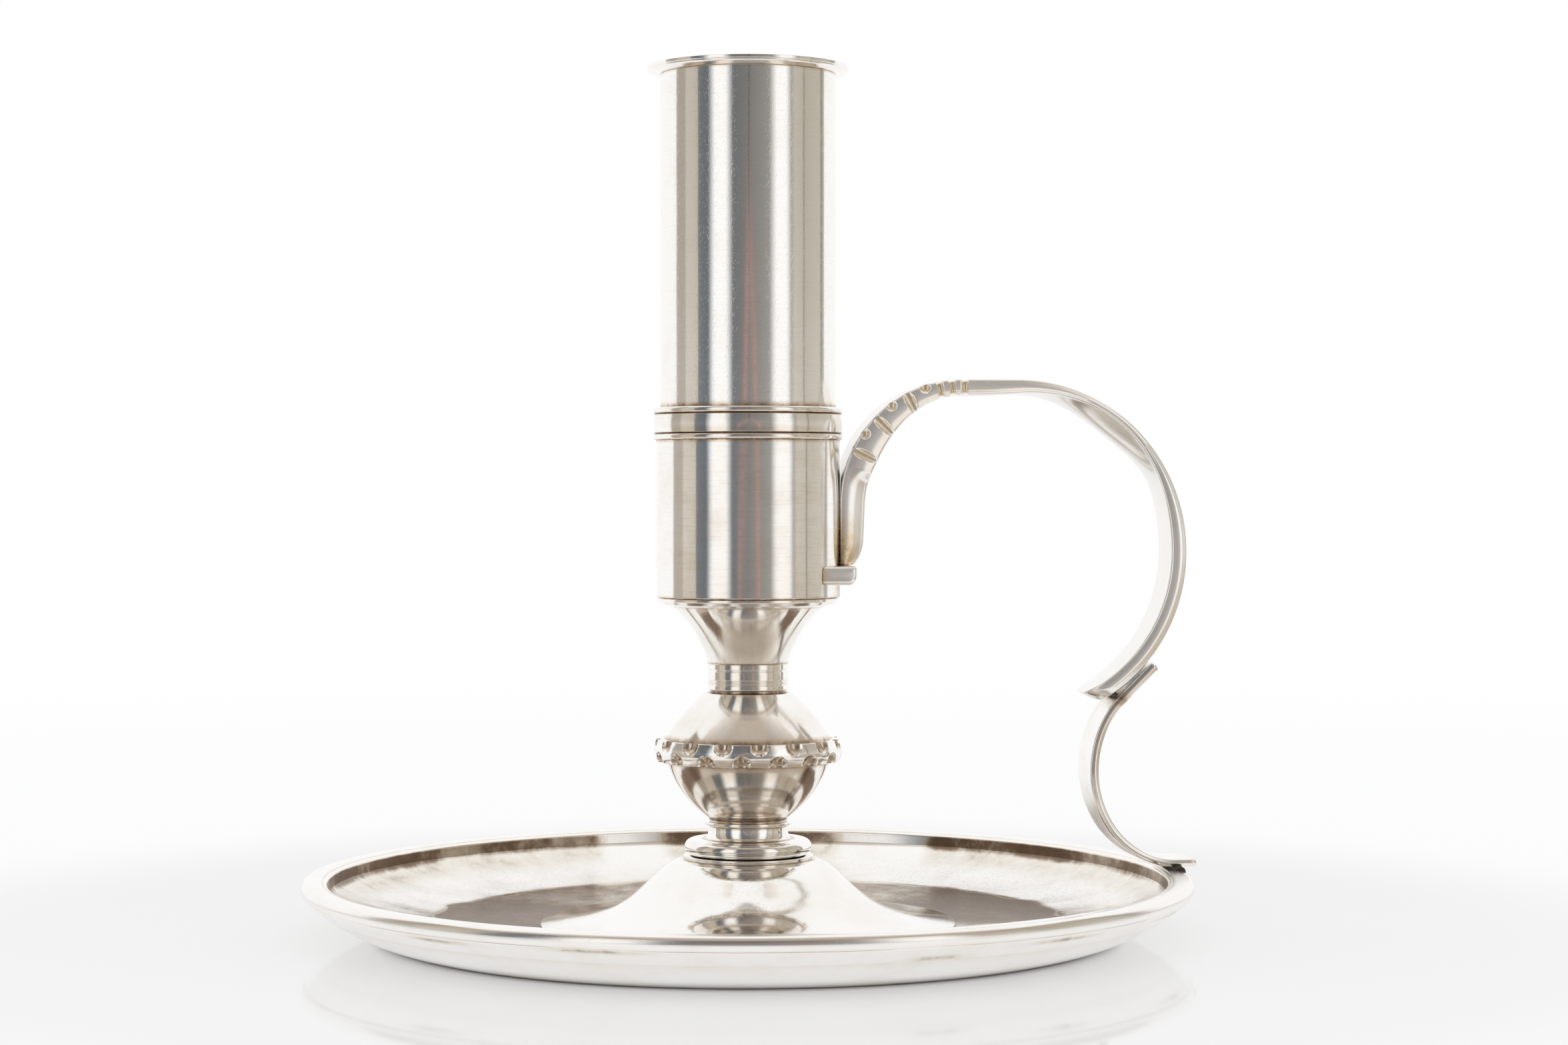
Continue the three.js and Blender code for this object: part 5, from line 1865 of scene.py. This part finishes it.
@dataclass(frozen=True)
class Card:
    """Curved sheet hung round the candlestick, seen only in the metal.

    Attributes:
        name: Name of the card.
        stops: Angle from the camera in degrees, to the right, and the colour there.
        edges: Its level edges, from the lowest.
    """

    name: str
    stops: tuple[tuple[float, Colour], ...]
    edges: tuple[CardEdge, ...]


def rod(name: str, half_width: float, colour: Colour, *places: Point) -> Card:
    """Narrow card through some places, each a height in metres and a turn in degrees."""
    edges = tuple(CardEdge(0.5, height, turn=turn) for height, turn in places)
    return Card(name, ((-half_width, colour), (half_width, colour)), edges)


@dataclass
class PhotoCamera:
    """Camera of the photograph.

    Attributes:
        place: Where it stands, in metres.
        heading: Level direction in which it looks.
        pitch: How far it looks down, in degrees.
        lens, sensor: Focal length, and width of the sensor.
    """

    place: tuple[float, float, float] = (-0.05403, -0.43428, 0.06213)
    heading: Point = (0.13485, 0.99087)
    pitch: float = 0.6225
    lens: float = 71.85
    sensor: float = 36.0

    def build(self) -> None:
        """Stand the camera up and make it the scene's camera."""
        data = bpy.data.cameras.new("photo_camera")
        data.sensor_fit, data.sensor_width = "HORIZONTAL", self.sensor
        data.lens, data.clip_start = self.lens, 0.01
        camera = stand("photo_camera", data)
        drop = math.radians(self.pitch)
        forward = Vector((*self.heading, 0.0)).normalized() * math.cos(drop) - Vector((0.0, 0.0, math.sin(drop)))
        camera.matrix_world = Matrix.Translation(self.place) @ forward.to_track_quat("-Z", "Y").to_matrix().to_4x4()
        bpy.context.scene.camera = camera


@dataclass
class Studio:
    """White table under even light, with grey cards for the metal to mirror.

    Attributes:
        camera: Camera that the cards are hung round.
        floor_size, floor_colour: Half the width of the table in metres, and its colour.
        floor_glow: How far the table shows as plain white, which thins the shadow.
        cards: The cards.
    """

    camera: PhotoCamera
    floor_size: float = 6.0
    floor_colour: Colour = (0.94, 0.94, 0.945)
    floor_glow: float = 0.6
    cards: tuple[Card, ...] = (
        Card("front_wall", (
            (-106.0, (0.41, 0.37, 0.32)), (-89.0, (0.41, 0.37, 0.32)), (-87.0, (0.57, 0.53, 0.46)),
            (-67.5, (0.53, 0.485, 0.415)), (-67.0, (0.17, 0.18, 0.19)), (-52.0, (0.13, 0.145, 0.16)), (-43.0, WHITE),
            (-28.0, WHITE), (-19.0, (0.15, 0.16, 0.17)), (2.0, (0.2, 0.2, 0.195)), (28.5, (0.3, 0.29, 0.27)),
            (38.0, WHITE), (51.5, WHITE), (58.5, shade(0.36)), (63.5, WALL_GREY), (77.0, (0.5, 0.46, 0.39)),
            (77.5, shade(0.2)), (78.7, shade(0.2)), (79.2, (0.47, 0.43, 0.365)), (109.0, WALL_GREY),
            (109.6, shade(0.25)), (111.0, shade(0.25)), (118.0, WALL_GREY),
        ), (
            CardEdge(0.112, 0.003, shade(0.9, 1.0)), CardEdge(1.2, 0.0, WALL_FOOT), CardEdge(1.2, 0.09, WALL_FOOT),
            CardEdge(1.2, 0.2), CardEdge(1.2, 0.3), CardEdge(1.2, 1.1, shade(0.85, 1.0)),
        )),
        Card("front_ceiling", (
            (-85.0, shade(0.9)), (-65.0, shade(0.65)), (-40.0, shade(0.5, 1.0)), (50.0, shade(0.5, 1.0)),
            (70.0, shade(0.65)), (90.0, shade(0.9)),
        ), (CardEdge(1.2, 1.1, shade(0.75, 0.5)), CardEdge(1.2, 2.1), CardEdge(0.5, 2.6, shade(1.15, 0.0)))),
        rod("left_rod", 1.7, ROD_BROWN, (0.0, -12.0), (0.04, -9.0), (0.094, -3.0), (0.137, 1.7)),
        rod("right_rod", 1.7, ROD_BROWN, (0.0, 15.0), (0.04, 13.5), (0.094, 10.0), (0.137, 1.7)),
        rod("pole", 0.7, shade(0.08), (0.137, 1.7), (0.4, 1.7)),
    )

    def build(self) -> None:
        """Light the world, lay the table and hang the cards."""
        bpy.context.scene.view_settings.view_transform = "Standard"
        self._world()
        self._floor()
        glow = self._glow()
        for card in self.cards:
            self._hang(card, glow)

    @staticmethod
    def _world() -> None:
        """Even white light from everywhere."""
        world = bpy.data.worlds.new("white_room")
        world.use_nodes = True
        background = world.node_tree.nodes["Background"].inputs
        background["Color"].default_value = (1.0, 1.0, 1.0, 1.0)
        background["Strength"].default_value = 1.0
        bpy.context.scene.world = world

    def _floor(self) -> None:
        """Lay a white table, slightly glossy near the pan, with a painted contact shadow at the pan's foot."""
        size = self.floor_size
        mesh = bpy.data.meshes.new("table")
        mesh.from_pydata([(-size, -size, 0), (size, -size, 0), (size, size, 0), (-size, size, 0)], [], [(0, 1, 2, 3)])
        sketch = MaterialSketch("white table")
        seen = sketch.add("ShaderNodeLightPath", out="Is Camera Ray")
        for ray in ("Is Glossy Ray", "Is Transmission Ray"):
            seen = seen.math("MAXIMUM", sketch.add("ShaderNodeLightPath", out=ray))
        away = sketch.length(sketch.add("ShaderNodeTexCoord", out="Object"))
        # Painted contact shadow: the white glow is taken off in a ring at the pan's foot, so the table darkens there.
        glow_past_painted_contact_shadow = away.ramp(0.0497, 0.0535) * self.floor_glow
        share = seen * away.ramp(0.15, 0.7).math("MULTIPLY_ADD", 1.0 - self.floor_glow, glow_past_painted_contact_shadow)
        paper = sketch.add("ShaderNodeBsdfDiffuse", {"Color": (*self.floor_colour, 1.0)})
        white = sketch.add("ShaderNodeEmission", {"Color": (1.0, 1.0, 1.0, 1.0), "Strength": 1.0})
        base = sketch.add("ShaderNodeMixShader", {0: share, 1: paper, 2: white})
        sheen = sketch.add("ShaderNodeFresnel", {"IOR": 1.4}) * away.ramp(0.16, 0.1)
        mirror = sketch.add("ShaderNodeBsdfGlossy", {"Roughness": 0.06})
        mesh.materials.append(sketch.close(sketch.add("ShaderNodeMixShader", {0: sheen, 1: base, 2: mirror})))
        stand("table", mesh)

    @staticmethod
    def _glow() -> bpy.types.Material:
        """Make the cards' material.

        Returns:
            The material, whose inner side glows in the card's own colour and whose outer side is clear.
        """
        sketch = MaterialSketch("card glow")
        colour = sketch.add("ShaderNodeAttribute", out="Color", attribute_name="glow")
        light = sketch.add("ShaderNodeEmission", {"Color": colour, "Strength": 1.0})
        behind = sketch.add("ShaderNodeNewGeometry", out="Backfacing")
        clear = sketch.add("ShaderNodeBsdfTransparent")
        return sketch.close(sketch.add("ShaderNodeMixShader", {0: behind, 1: light, 2: clear}))

    def _hang(self, card: Card, glow: bpy.types.Material) -> None:
        """Hang one card.

        Args:
            card: The card.
            glow: Its material.
        """
        ahead = np.array(self.camera.heading)
        right = np.array((ahead[1], -ahead[0]))
        angles = np.array([angle for angle, _ in card.stops])
        tones = np.array([colour for _, colour in card.stops])
        turns = np.unique(np.append(angles, np.arange(angles[0], angles[-1], 2.0)))
        count, rows = len(turns), []
        for edge in card.edges:
            bows = np.radians(turns + edge.turn)[:, None]
            ways = np.sin(bows) * right - np.cos(bows) * ahead
            rows.append(np.column_stack([ways * edge.distance, np.full(count, edge.height)]))
        faces = [
            (i, i + count, i + 1 + count, i + 1)
            for row in range(len(rows) - 1) for i in range(row * count, (row + 1) * count - 1)
        ]
        mesh = bpy.data.meshes.new(card.name)
        mesh.from_pydata(np.vstack(rows).tolist(), [], faces)
        colours = np.column_stack([*(np.interp(turns, angles, tones[:, k]) for k in range(3)), np.ones(count)])
        glows = np.minimum(CARD_WHITE, np.vstack([colours * (*edge.tint, 1.0) for edge in card.edges]))
        mesh.attributes.new("glow", "FLOAT_COLOR", "POINT").data.foreach_set("color", glows.ravel())
        mesh.materials.append(glow)
        sheet = stand(card.name, mesh)
        sheet.visible_camera = sheet.visible_diffuse = sheet.visible_shadow = False


def main() -> None:
    """Build the studio and the candlestick."""
    logging.basicConfig(level=logging.INFO, format="%(message)s")
    camera = PhotoCamera()
    camera.build()
    Studio(camera).build()
    bench = Bench()
    for assembly in (Pan, Stem, Cup, CandleTube, Handle, Fastenings):
        assembly(bench).build()


if __name__ == "__main__":
    main()
